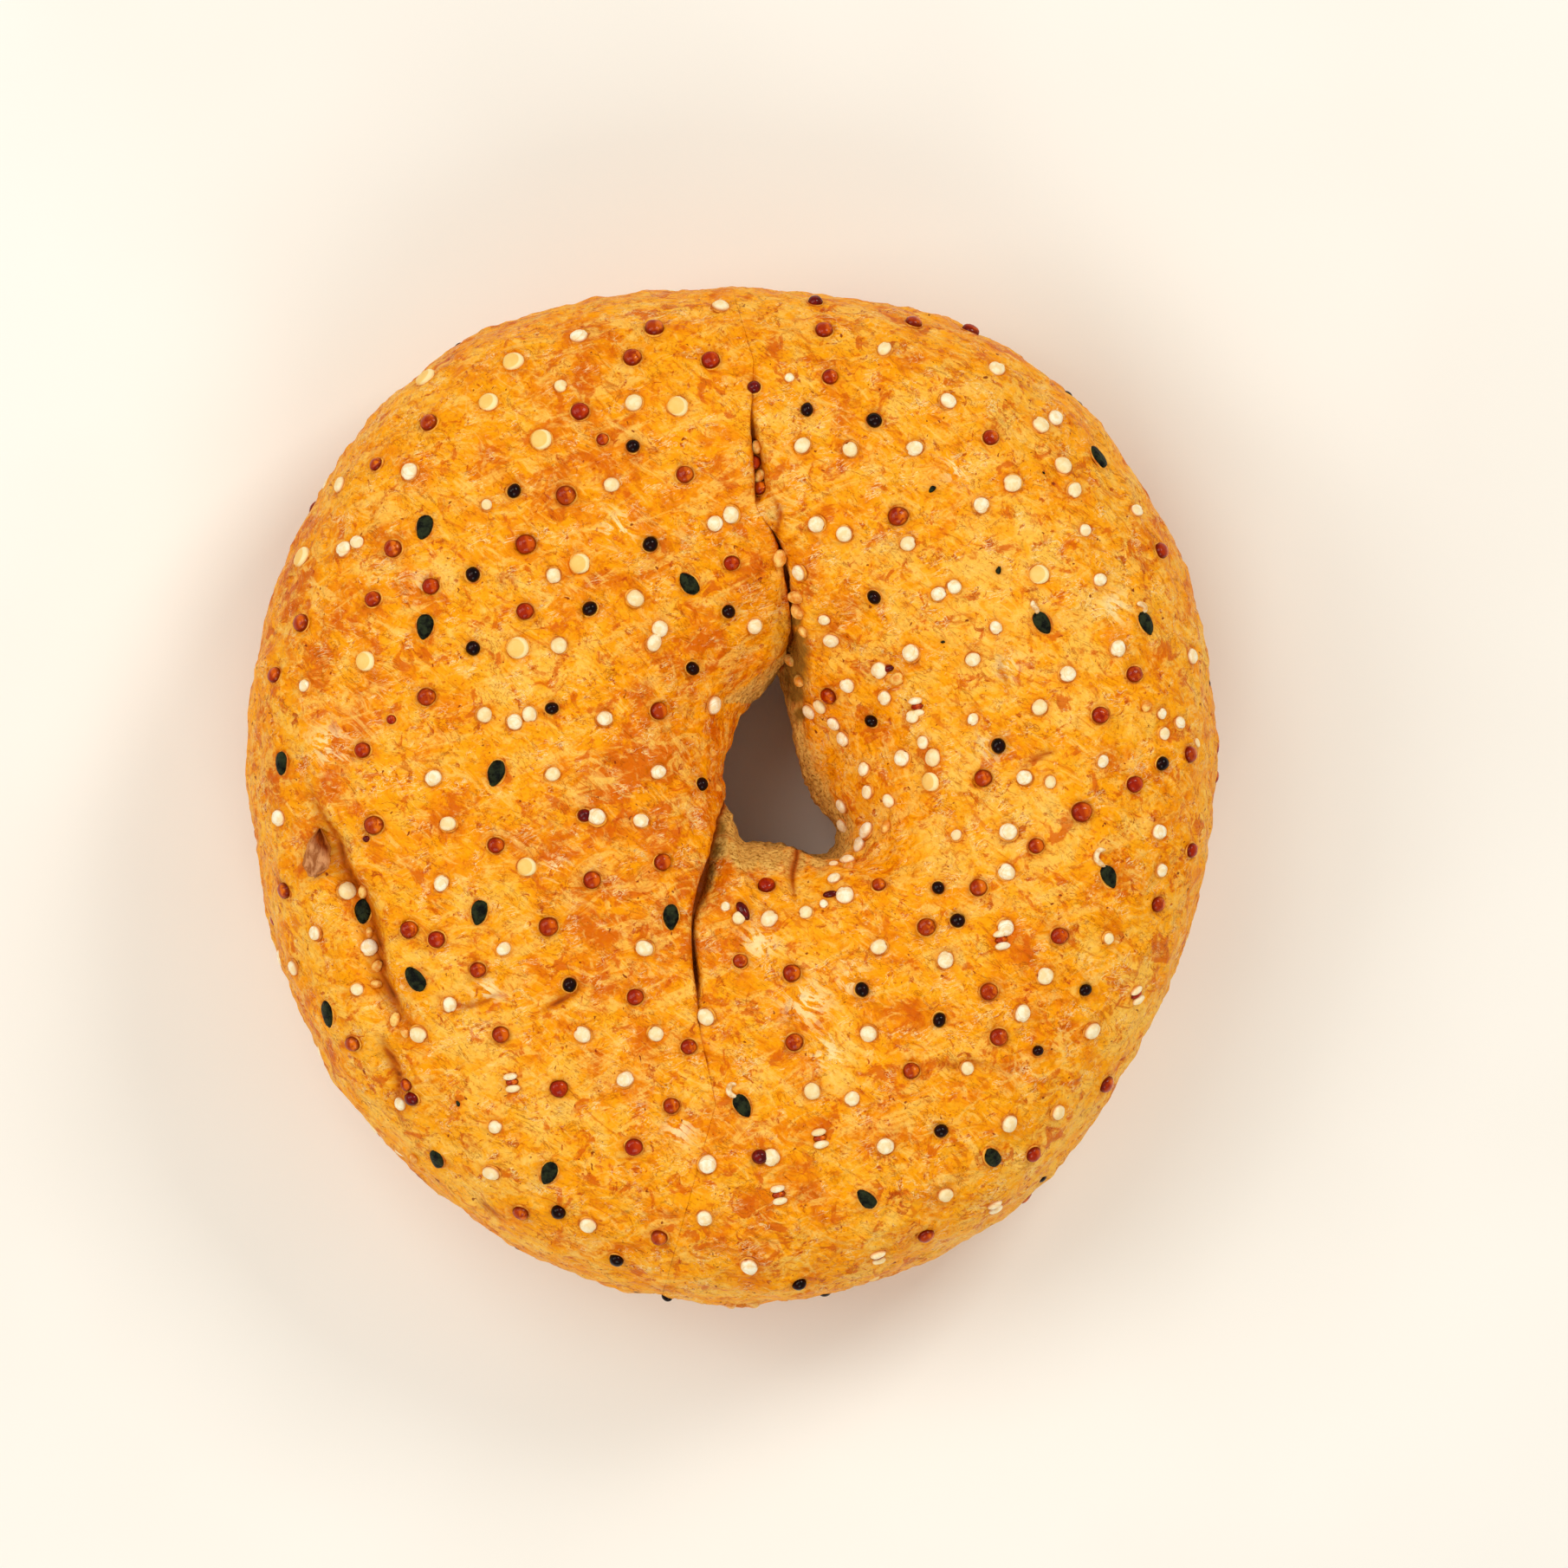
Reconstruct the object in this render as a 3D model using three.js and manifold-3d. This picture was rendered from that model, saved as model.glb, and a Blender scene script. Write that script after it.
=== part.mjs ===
// A hand-shaped bagel with seeds baked into its crust, lying on its flat base.
// Millimetres, +Z up. The origin is on the surface it lies on, under the middle of its bounding box.
import * as THREE from "three";
import { ParametricGeometry } from "three/addons/geometries/ParametricGeometry.js";
import { mergeVertices } from "three/addons/utils/BufferGeometryUtils.js";
import Module from "manifold-3d";

// The ring of bread: its outline and its hole seen from above, at even angles from +X.
const RIM_CENTRE = [0, 0];
const RIM_RADII = [55.5, 58.6, 61.3, 58.75, 61.5, 58.9, 55.4, 55.6, 56.6, 58.35, 57.3, 55.2];
const HOLE_CENTRE = [5.5, 0.5];
const HOLE_RADII = [4.2, 4.0, 5.3, 14.7, 9.0, 6.9, 6.0, 6.3, 6.4, 5.8, 8.1, 7.6];
const RIM_SIDE_COUNT = 90;

// Its section, a superellipse between the hole and the rim, where 2 is an ellipse.
const CREST_HEIGHT = 38;
const CREST_TILT = 1.2; // how much the left side stands above the right side
const WIDEST_HEIGHT = 16;
const BASE_SAG = 5; // how far the round underside would reach below the surface it lies flat on
const OUTER_SQUARENESS = 2.8;
const INNER_SQUARENESS = 2.4; // beside the hole
const INNER_SQUARENESS_SWING = 0.6; // squarer to the left of the hole, more sloping to the right
const BASE_SQUARENESS = 2.6;
const SECTION_SIDE_COUNT = 26;

// Seams, where the dough was rolled against itself. Each is a valley with a slit at its bottom,
// along a line that starts in the open crust. Depths are at the start and at the end of the line.
const SEAMS = [
  {
    line: [[2.3, 51], [2.4, 42], [2.9, 34], [5.2, 26], [6.6, 18], [5.8, 8]],
    valley: { width: 6, depths: [0.4, 9] },
    slit: { halfWidth: 0.8, heights: [33.5, 17], lean: -2 },
  },
  {
    line: [[-1.6, -35], [-3.4, -28], [-4.4, -20], [-4.4, -13], [-2.4, -6], [2, 0]],
    valley: { width: 6, depths: [0.4, 8] },
    slit: { halfWidth: 0.7, heights: [37, 17], lean: -2.5 },
  },
  {
    line: [[-48.3, 3], [-45.3, -5], [-41.6, -11], [-40, -19], [-37.5, -25.5]],
    valley: { width: 3.5, depths: [0.3, 0.8] },
    slit: { halfWidth: 0.6, heights: [30, 32.5], lean: 1 },
  },
  {
    line: [[-40.4, -27], [-39.2, -30], [-38.3, -34], [-37.4, -38]],
    valley: { width: 2.5, depths: [0.3, 0.3] },
    slit: { halfWidth: 0.4, heights: [31.5, 29], lean: 1 },
  },
];
const SLIT_TOP = 45;
const SLIT_SIDE_COUNT = 24;
const SLIT_END_SHARE = 0.12; // the share of a slit's length over which each end narrows to a point

// Toppings: [x, y, turn in degrees, scale] where each one lies, seen from above.
const SEED_STAND = 0.1; // how far a seed's middle is above the crust, as a share of its thickness
const SOCKET_GAP = 0.3;
const CRUST_TOLERANCE = 0.03; // the crust loses corners that matter less than this
const TOPPINGS = [
  {
    name: "black_sesame",
    shape: sesame,
    size: [3.1, 1.85, 1.0],
    colour: 0x14180f,
    roughness: 0.45,
    places: [
      [-35.3, 31.4, 255, 1.15], [-35.2, 20, 265, 0.9], [-51.6, 4.3, 263, 1], [-27.1, 3.2, 252, 1],
      [-42.3, -12.7, 270, 0.8], [-29, -12.8, 260, 1.05], [-36.3, -20.4, 125, 0.8], [-46.3, -24.4, 255, 0.85],
      [-33.8, -41.2, 250, 0.95], [-21.1, -42.7, 245, 1.1], [-7, -13.3, 268, 1], [-5, 25, 130, 0.95],
      [42, 39.4, 110, 0.85], [29.8, -40.8, 130, 0.75], [15.4, -45.6, 130, 0.85],
    ],
  },
  {
    name: "sprouted_sesame",
    shape: sproutedSesame,
    size: [3.0, 1.7, 1.0],
    colour: 0x1a1610,
    roughness: 0.45,
    places: [[36.2, 19.9, 305, 1], [47.9, 19.8, 295, 1], [43.7, -9.2, 300, 1], [1.8, -35.5, 300, 1]],
  },
  {
    name: "black_quinoa",
    shape: roundSeed,
    size: [1.8, 1.7, 1.5],
    colour: 0x120c0e,
    roughness: 0.2,
    places: [
      [-11.3, 40.6, 20, 1], [-24.9, 35.5, 40, 1], [-9.3, 29.4, 15, 1], [-29.6, 25.9, 0, 1],
      [-16.2, 22, 30, 1], [-29.6, 17.5, 25, 1], [-0.4, 21.8, 0, 1], [-4.6, 15.3, 0, 1],
      [-20.6, 10.6, 0, 1], [-3.6, 1.9, 0, 1], [8.7, 44.8, 0, 1], [16.4, 43.6, 0, 1],
      [16.4, 23.4, 0, 1], [16.2, 9.2, 30, 1], [30.6, 6.3, 0, 1], [49.3, 4.3, 90, 1],
      [26, -13.8, 0, 1], [15, -21.7, 0, 1], [40.5, -21.7, 0, 1], [-19.8, -47.1, 0, 1],
    ],
  },
  {
    name: "red_quinoa",
    shape: roundSeed,
    size: [2.1, 2.0, 1.4],
    colour: 0xa22a10,
    roughness: 0.35,
    places: [
      [-34.6, 43.3, 0, 1], [-5.3, 37.4, 0, 1.1], [-34.4, 24.6, 0, 1], [29.7, 41.6, 0, 1.1],
      [42.3, 9.8, 0, 1.1], [46.2, 1.9, 0, 1.05], [-27, -5.1, 0, 1], [-8, -7, 0, 1],
      [22.4, -14.5, 0, 1], [-11, -22.5, 0, 1],
    ],
  },
  {
    name: "golden_quinoa",
    shape: roundSeed,
    size: [2.4, 2.3, 1.2],
    colour: 0xf0bd57,
    roughness: 0.5,
    places: [[-25, 50.3, 0, 1], [-41.9, 16, 0, 1], [35.3, 25.9, 0, 1], [23, 2.2, 0, 1]],
  },
  {
    name: "white_quinoa",
    shape: roundSeed,
    size: [2.0, 1.9, 1.4],
    colour: 0xf6e6b8,
    roughness: 0.6,
    places: [
      [-44.8, 36.2, 0, 1], [-1.9, 31.8, 0, 1], [31.8, -3.6, 0, 1.15], [35.4, 10.7, 0, 1],
      [-10.4, -2.3, 0, 1],
    ],
  },
  {
    name: "onion_flake",
    shape: flake,
    size: [3.4, 5.2, 0.7],
    colour: 0x8a4a2c,
    roughness: 0.4,
    places: [[-47.6, -6.6, 0, 1]],
  },
];

const wasm = await Module();
wasm.setup();

// A closed outline seen from above, through points at even angles around a centre.
function outline(radii, [x, y]) {
  const points = radii.map((radius, i) => {
    const angle = (2 * Math.PI * i) / radii.length;
    return new THREE.Vector3(x + radius * Math.cos(angle), y + radius * Math.sin(angle), 0);
  });
  return new THREE.CatmullRomCurve3(points, true);
}

const rim = outline(RIM_RADII, RIM_CENTRE);
const hole = outline(HOLE_RADII, HOLE_CENTRE);

const seams = SEAMS.map(({ line, valley, slit }) => {
  const curve = new THREE.CatmullRomCurve3(line.map(([x, y]) => new THREE.Vector3(x, y, 0)));
  return { curve, samples: curve.getPoints(60), valley, slit };
});

// How far the seams' valleys lower the crust at a place.
function valleyDepth(place) {
  let deepest = 0;
  for (const { samples, valley } of seams) {
    let nearest = Infinity;
    let along = 0;
    samples.forEach((sample, i) => {
      const distance = Math.hypot(sample.x - place.x, sample.y - place.y);
      if (distance < nearest) {
        nearest = distance;
        along = i / (samples.length - 1);
      }
    });
    const share = Math.min(1, nearest / valley.width);
    const depth = THREE.MathUtils.lerp(...valley.depths, along) * (1 - share ** 2) ** 2;
    deepest = Math.max(deepest, depth);
  }
  return deepest;
}

// A sine or cosine pushed out from a circle's to a superellipse's.
const squared = (wave, squareness) => Math.sign(wave) * Math.abs(wave) ** (2 / squareness);

// The crust: u goes round the ring, and v round its section from the rim over the top to the hole.
function crust(u, v, target) {
  const turn = 2 * Math.PI * (u % 1);
  const angle = 2 * Math.PI * (v % 1);
  const isTop = Math.sin(angle) > 0;
  const isInner = Math.cos(angle) < 0;
  const inner = INNER_SQUARENESS - INNER_SQUARENESS_SWING * Math.cos(turn);
  const topSquareness = isInner ? inner : OUTER_SQUARENESS;
  const squareness = isTop ? topSquareness : BASE_SQUARENESS;
  const across = squared(Math.cos(angle), squareness);
  const up = squared(Math.sin(angle), squareness);
  target.lerpVectors(hole.getPoint(u % 1), rim.getPoint(u % 1), (1 + across) / 2);
  if (isTop) {
    const crest = CREST_HEIGHT - CREST_TILT * (0.5 + target.x / (2 * RIM_RADII[0]));
    const height = WIDEST_HEIGHT + (crest - WIDEST_HEIGHT) * up - valleyDepth(target) * up;
    target.z = Math.max(height, WIDEST_HEIGHT);
  } else {
    target.z = Math.max(0, WIDEST_HEIGHT + (WIDEST_HEIGHT + BASE_SAG) * up);
  }
}

// What a seam's slit takes out of the crust: a wedge along the seam, pointed at both ends.
function slitWedge({ curve, slit }) {
  return (u, v, target) => {
    const corner = Math.round(3 * v) % 3; // the wedge's left top edge, right top edge and bottom edge
    const open = Math.min(1, u / SLIT_END_SHARE, (1 - u) / SLIT_END_SHARE);
    curve.getPoint(u, target);
    target.z = THREE.MathUtils.lerp(...slit.heights, u);
    if (corner === 2) {
      target.x += slit.lean * open;
    } else {
      target.x += (corner === 0 ? -1 : 1) * slit.halfWidth * open;
      target.z = THREE.MathUtils.lerp(target.z, SLIT_TOP, open);
    }
  };
}

// A closed solid from a geometry, with shared corners merged and flattened triangles left out.
function solidOf(geometry) {
  const bare = geometry.clone().deleteAttribute("normal").deleteAttribute("uv");
  const merged = mergeVertices(bare, 1e-3);
  const { array } = merged.index;
  const triVerts = [];
  for (let i = 0; i < array.length; i += 3) {
    const [a, b, c] = array.slice(i, i + 3);
    if (a !== b && b !== c && c !== a) triVerts.push(a, b, c);
  }
  const mesh = { numProp: 3, vertProperties: merged.attributes.position.array };
  const solid = new wasm.Manifold(new wasm.Mesh({ ...mesh, triVerts: new Uint32Array(triVerts) }));
  if (solid.volume() > 0) return solid;
  // The surface was wound the other way round, with its faces pointing in.
  return new wasm.Manifold(new wasm.Mesh({ ...mesh, triVerts: new Uint32Array(triVerts.reverse()) }));
}

// A mesh of a solid.
function meshOf(name, solid, material) {
  const { vertProperties, triVerts } = solid.getMesh();
  const geometry = new THREE.BufferGeometry();
  geometry.setAttribute("position", new THREE.BufferAttribute(vertProperties, 3));
  geometry.setIndex(new THREE.BufferAttribute(triVerts, 1));
  geometry.computeVertexNormals();
  const mesh = new THREE.Mesh(geometry, material);
  mesh.name = name;
  return mesh;
}

// A round, slightly flattened seed. Each topping is made flat about the origin, and is grown all
// round by `grow` to make its socket in the crust.
function roundSeed(size, grow, detail = 1) {
  const radii = size.map((length) => length / 2 + grow);
  return new THREE.IcosahedronGeometry(1, detail).scale(...radii);
}

// A sesame seed: flat, with its pointed end at +X.
function sesame(size, grow) {
  const seed = roundSeed(size, grow);
  const { position } = seed.attributes;
  const end = size[0] / 2 + grow;
  for (let i = 0; i < position.count; i += 1) {
    position.setY(i, position.getY(i) * (1 - 0.45 * (position.getX(i) / end)));
  }
  return seed;
}

// A sesame seed with a curled germ growing out of its round end.
function sproutedSesame(size, grow) {
  const length = size[0];
  const germ = new THREE.CatmullRomCurve3([
    new THREE.Vector3(-0.3 * length, 0, 0.1),
    new THREE.Vector3(-0.65 * length, 0.1 * length, 0.3),
    new THREE.Vector3(-0.85 * length, -0.1 * length, 0.3),
    new THREE.Vector3(-0.7 * length, -0.3 * length, 0.2),
  ]);
  const { binormals, normals } = germ.computeFrenetFrames(8);
  const tube = new ParametricGeometry((u, v, target) => {
    const i = Math.round(8 * u);
    const angle = 2 * Math.PI * (v % 1);
    const radius = (0.35 + grow) * Math.sqrt(1 - (2 * u - 1) ** 4);
    germ.getPointAt(u, target);
    target.addScaledVector(normals[i], radius * Math.cos(angle));
    target.addScaledVector(binormals[i], radius * Math.sin(angle));
  }, 8, 6);
  return [sesame(size, grow), tube];
}

// A thin, curved flake of onion skin.
function flake(size, grow) {
  const piece = roundSeed(size, grow, 2);
  const { position } = piece.attributes;
  for (let i = 0; i < position.count; i += 1) {
    position.setZ(i, position.getZ(i) + 0.08 * position.getX(i) ** 2);
  }
  return piece;
}

// One solid from one or more overlapping geometries.
function joined(geometries) {
  return [geometries].flat().map(solidOf).reduce((all, solid) => all.add(solid));
}

const crustMaterial = new THREE.MeshStandardMaterial({ color: 0xe2923a, roughness: 0.55, metalness: 0 });

let bread = solidOf(new ParametricGeometry(crust, RIM_SIDE_COUNT, SECTION_SIDE_COUNT));
for (const seam of seams) {
  bread = bread.subtract(solidOf(new ParametricGeometry(slitWedge(seam), SLIT_SIDE_COUNT, 3)));
}
const breadWithoutSockets = meshOf("bread", bread, crustMaterial);

// Lay a topping on the crust at a place: turned about +Z, then tipped to the crust's slope.
const raycaster = new THREE.Raycaster();
const UP = new THREE.Vector3(0, 0, 1);
function layOnCrust(topping, [x, y, turn, scale], thickness) {
  raycaster.set(new THREE.Vector3(x, y, 2 * CREST_HEIGHT), UP.clone().negate());
  const [{ point, face }] = raycaster.intersectObject(breadWithoutSockets);
  const spin = new THREE.Quaternion().setFromAxisAngle(UP, THREE.MathUtils.degToRad(turn));
  topping.quaternion.setFromUnitVectors(UP, face.normal).multiply(spin);
  topping.position.copy(point).addScaledVector(face.normal, SEED_STAND * thickness);
  topping.scale.setScalar(scale);
  topping.updateMatrix();
}

const whole = new THREE.Group();
for (const { name, shape, size, colour, roughness, places } of TOPPINGS) {
  const kind = new THREE.Group();
  places.forEach((place, i) => {
    const number = String(i + 1).padStart(2, "0");
    const label = places.length > 1 ? `${name}_${number}` : name;
    const material = new THREE.MeshStandardMaterial({ color: colour, roughness, metalness: 0 });
    const topping = meshOf(label, joined(shape(size, 0)), material);
    layOnCrust(topping, place, size[2]);
    kind.add(topping);
    const gap = SOCKET_GAP / topping.scale.x;
    bread = bread.subtract(joined(shape(size, gap)).transform(topping.matrix.elements));
  });
  whole.add(kind);
}
whole.add(meshOf("bread", bread.simplify(CRUST_TOLERANCE), crustMaterial));

// Set the bagel down so that the origin is under the middle of its bounding box.
const box = new THREE.Box3().setFromObject(whole);
const middle = box.getCenter(new THREE.Vector3());
whole.position.set(-middle.x, -middle.y, -box.min.z);

const bagel = new THREE.Group();
bagel.add(whole);

export default bagel;
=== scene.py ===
"""A seeded, hand-shaped bagel on a pale floor, seen from straight above.

Lengths are in millimetres until a mesh is made.
"""

import math

import bmesh
import bpy
import numpy as np
from mathutils import Matrix, Vector, noise
from mathutils.bvhtree import BVHTree
from mathutils.kdtree import KDTree


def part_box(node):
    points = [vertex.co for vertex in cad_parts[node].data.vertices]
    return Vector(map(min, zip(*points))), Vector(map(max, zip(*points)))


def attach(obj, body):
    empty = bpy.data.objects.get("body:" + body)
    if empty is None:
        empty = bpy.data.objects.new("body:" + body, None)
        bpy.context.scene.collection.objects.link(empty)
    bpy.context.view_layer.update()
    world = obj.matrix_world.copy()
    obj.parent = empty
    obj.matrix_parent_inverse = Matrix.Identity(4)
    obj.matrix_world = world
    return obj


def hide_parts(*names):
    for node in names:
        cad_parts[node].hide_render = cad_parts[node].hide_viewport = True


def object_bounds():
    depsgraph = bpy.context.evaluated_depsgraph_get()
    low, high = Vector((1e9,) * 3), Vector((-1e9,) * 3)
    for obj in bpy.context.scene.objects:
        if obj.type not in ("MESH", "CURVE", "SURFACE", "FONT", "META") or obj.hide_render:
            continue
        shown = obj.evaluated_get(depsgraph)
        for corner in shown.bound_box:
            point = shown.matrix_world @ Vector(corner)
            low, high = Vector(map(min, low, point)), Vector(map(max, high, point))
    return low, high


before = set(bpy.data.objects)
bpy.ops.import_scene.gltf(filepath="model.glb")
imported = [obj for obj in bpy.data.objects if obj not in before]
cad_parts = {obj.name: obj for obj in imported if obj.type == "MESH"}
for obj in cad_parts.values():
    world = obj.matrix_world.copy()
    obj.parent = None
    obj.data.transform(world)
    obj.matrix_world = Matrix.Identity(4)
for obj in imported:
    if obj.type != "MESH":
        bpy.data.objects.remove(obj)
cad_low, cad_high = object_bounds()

MM = 0.001
UP = Vector((0, 0, 1))
rng = np.random.RandomState(20)

# ---------------------------------------------------------------- the crust's shape

RING_COUNT = 640  # cross-sections round the ring, before those added at the seams
SECTION_COUNT = 236  # vertices round each cross-section
WIDEST_HEIGHT = 16.0  # where the rim is furthest out and the hole is narrowest
BASE_SAG = 5.0
OUTER_SQUARENESS = 2.8
INNER_SQUARENESS = 2.7
INNER_SQUARENESS_SWING = 1.2
INNER_SLOPE_TURN = math.radians(50)  # the side of the hole whose wall slopes the most
BASE_SQUARENESS = 2.6
CREST_TILT = 1.2
REFERENCE_HALF_WIDTH = 22.0  # of the rope, for spacing the vertices evenly round its section
BASE_SPACING = 2.6  # how much coarser the underside is

HOLE_CENTRE = np.array([5.5, 0.5])
HOLE_OUTLINE = [
    (6.3, 15.2), (6.0, 14.4), (4.5, 12.2), (2.5, 10.7), (1.4, 9.2), (0.3, 6.2), (-0.7, 3.2),
    (-0.6, 0.7), (0.5, -3.6), (2.1, -5.1), (4.5, -4.9), (7.0, -5.6), (9.0, -6.6), (11.0, -6.3),
    (12.1, -5.2), (12.0, -3.4), (10.5, -1.3), (9.0, 2.2), (7.8, 7.2), (7.0, 12.2),
]

HOLE_RAGGED = 0.45  # how uneven the hole's edge is
CURVE_STEPS = 40  # steps for each knot of a smooth curve, before they are evened out
RIM_TURNS = 360  # directions in which the CAD model's rim is felt
RIM_BLUR = 3  # how many of those directions its facets are smoothed over
BASE_START = 0.6  # how far below the widest height the underside's wide spacing starts, as a share of it

# Seams between lobes of dough, where the lobe on the left laps over the one on the right. Each runs from
# a turn round the hole to a turn round the rim. Its knots, from the hole outwards, are (x, y, depth, width
# of the open gap, width of the right lobe's shoulder). left is the way that turns grow on its left side.
SEAMS = {
    "top": {
        "hole_turn": math.radians(87),
        "rim_turn": math.radians(90),
        "left": 1,
        "knots": [
            (5.0, 14.6, 9.0, 0.1, 5.4), (6.1, 16.6, 6.5, 0.1, 4.6), (6.7, 18.6, 5.0, 0.2, 3.6),
            (6.7, 21.0, 4.0, 0.4, 3.0), (6.5, 23.0, 3.6, 0.7, 2.8), (6.1, 25.5, 3.0, 0.8, 2.4),
            (5.6, 28.2, 2.2, 0.5, 2.0), (4.6, 30.8, 1.0, 0.2, 2.0), (3.8, 31.8, 0.1, 0.0, 2.0),
            (2.9, 33.4, 0.2, 0.0, 2.4), (2.6, 35.0, 1.8, 0.5, 2.2), (2.5, 37.0, 2.6, 1.3, 1.8),
            (2.3, 40.0, 2.4, 1.0, 1.6), (2.2, 42.0, 1.6, 0.4, 1.5), (2.2, 44.0, 0.9, 0.1, 1.4),
            (2.4, 47.0, 0.5, 0.0, 1.2), (2.5, 50.5, 0.2, 0.0, 1.0),
        ],
    },
    "bottom": {
        "hole_turn": math.radians(185),
        "rim_turn": math.radians(262),
        "left": -1,
        "knots": [
            (-0.9, 0.0, 13.0, 0.3, 7.0), (-2.0, -3.5, 7.5, 0.3, 6.0), (-2.9, -7.0, 5.0, 0.3, 5.0),
            (-3.9, -10.0, 4.2, 0.7, 3.0), (-4.5, -13.0, 2.2, 0.25, 2.0), (-4.6, -16.0, 1.7, 0.1, 1.4),
            (-4.4, -19.5, 2.4, 0.35, 1.2), (-4.0, -22.5, 0.9, 0.1, 1.2), (-3.7, -26.5, 0.5, 0.0, 1.4),
            (-2.8, -30.5, 0.3, 0.0, 1.2), (-1.8, -35.0, 0.15, 0.0, 1.0),
        ],
    },
}
SEAM_OFFSETS = [0.05, 0.1, 0.16, 0.24, 0.34, 0.46, 0.6, 0.78, 1.0, 1.25]  # of the added sections, at...
SEAM_OFFSET_RADIUS = 25.0  # ...this distance from the hole
WALL_SHARES = [0.25, 0.5, 0.75]  # of the sections down a seam's wall
SEAM_PULL = 10.0  # how far from a seam the sections bend to follow it
SEAM_CLEARANCE = 0.05  # between the added sections and the plain ones
LEAST_LIP_RADIUS = 0.12  # of the left lobe's rounded edge, otherwise half the seam's depth
MOST_LIP_RADIUS = 1.7
MOST_UNDERCUT = 0.9
UNDERCUT_SHARE = 0.35  # of the seam's depth
BURNT_AND_SHADED_DEPTH = 1.5  # a seam this deep is painted fully dark inside, as burnt colour with painted shade
SEAM_BURN_AND_SHADE = (0.3, 0.2)  # how dark the left lobe's edge is painted, as burnt colour with painted shade, and how far that reaches
GAP_BURN_AND_SHADE = (0.75, 0.35)  # the same past the gap, on the right lobe

# Shallow folds and wrinkles: points (x, y, depth), with the width of the dip on each side of the line.
CREASES = [
    ([(-48.4, 3.2, 0.1), (-47.4, -0.8, 0.8), (-45.2, -4.4, 1.3), (-44.0, -8.0, 2.2), (-42.2, -10.6, 2.5),
      (-41.2, -13.0, 2.6), (-40.4, -16.2, 2.6), (-39.9, -19.4, 2.4), (-38.9, -22.4, 1.9), (-37.3, -25.3, 0.9),
      (-35.2, -27.2, 0.3)], 4.6, 0.75),
    ([(-40.4, -26.6, 0.2), (-39.4, -29.0, 1.4), (-38.2, -31.5, 1.7), (-38.0, -34.0, 1.3), (-38.0, -36.2, 0.7),
      (-37.2, -38.6, 0.2)], 3.2, 1.0),
    ([(-34.2, -22.3, 0.1), (-31.0, -23.7, 0.4), (-28.5, -23.4, 0.35), (-26.3, -22.2, 0.1)], 0.9, 0.9),
    ([(-21.9, -24.5, 0.15), (-19.6, -23.2, 0.6), (-17.4, -22.0, 0.2)], 0.8, 0.8),
    ([(-29.5, -46.0, 0.1), (-27.8, -47.2, 0.4), (-26.0, -48.0, 0.1)], 0.7, 0.7),
    ([(22.8, -30.1, 0.1), (25.9, -30.5, 0.5), (28.2, -30.3, 0.4), (31.4, -30.8, 0.1)], 0.7, 0.7),
    ([(33.4, 3.6, 0.1), (35.4, 4.8, 0.45), (37.6, 5.7, 0.1)], 0.7, 0.7),
    ([(7.5, -6.3, 0.9), (7.0, -8.6, 0.6), (7.3, -11.8, 0.1)], 1.0, 1.0),
    ([(16.0, -3.3, -0.1), (21.0, -1.6, -0.35), (26.4, -0.4, -0.1)], 0.9, 0.9),
    ([(30.6, 16.8, 0.1), (31.2, 14.6, 0.35), (32.0, 12.2, 0.1)], 1.2, 0.8),
    ([(4.4, 35.5, 0.1), (5.6, 33.0, 0.4), (5.2, 30.6, 0.4)], 0.9, 0.9),
]
CREASE_STEPS = 40
WIDE_FOLD = 2.0  # a fold with a wider left side than this has a lobe that bulges beside it
FOLD_SWELL = 0.35  # how high the lobe bulges, as a share of the fold's depth
SWELL_PLACE, SWELL_WIDTH = 1.2, 1.6  # how far past the fold's right side the bulge is, and its width
CREASE_BURN_AND_SHADE = 0.85  # how dark the deepest creases are painted, as burnt colour with painted shade
FOLD_BURN_AND_SHADE_DEPTH, CREASE_BURN_AND_SHADE_DEPTH = 1.8, 0.6  # how deep a fold and a wrinkle are where that painted darkness is full
RIGHT_BURN_AND_SHADE = 0.25  # how far the painted burn and shade reach on a crease's right
LEFT_BURN_AND_SHADE, LEAST_LEFT_BURN_AND_SHADE = 0.16, 0.4  # the same on its left, as a share of the width there, and at least

LUMPS = [(0.035, 0.6), (0.11, 0.5), (0.3, 0.36), (0.7, 0.24), (1.3, 0.1)]  # (frequency per mm, height)


def on_curve(knots, count):
    """Rows evenly spaced along a smooth curve through the knots, whose first two numbers are x and y."""
    knots = np.asarray(knots, float)
    padded = np.vstack([2 * knots[0] - knots[1], knots, 2 * knots[-1] - knots[-2]])
    t = np.linspace(0, len(knots) - 1, CURVE_STEPS * len(knots))
    i = np.minimum(t.astype(int), len(knots) - 2)
    f = (t - i)[:, None]
    a, b, c, d = (padded[i + n] for n in range(4))
    dense = 0.5 * (2 * b + (c - a) * f + (2 * a - 5 * b + 4 * c - d) * f**2 + (3 * b - 3 * c + d - a) * f**3)
    steps = np.hypot(*np.diff(dense[:, :2], axis=0).T)
    along = np.concatenate([[0], np.cumsum(steps)])
    wanted = np.linspace(0, along[-1], count)
    return np.column_stack([np.interp(wanted, along, column) for column in dense.T])


def squared(wave, squareness):
    return np.sign(wave) * np.abs(wave) ** (2 / squareness)


def shoulder(distance, width):
    """1 at no distance, falling to 0 at the width, as the drop of a rounded shoulder does."""
    share = np.clip(1 - distance / np.maximum(width, 1e-6), 0, 1)
    return 1 - np.sqrt(1 - share**2)


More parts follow.
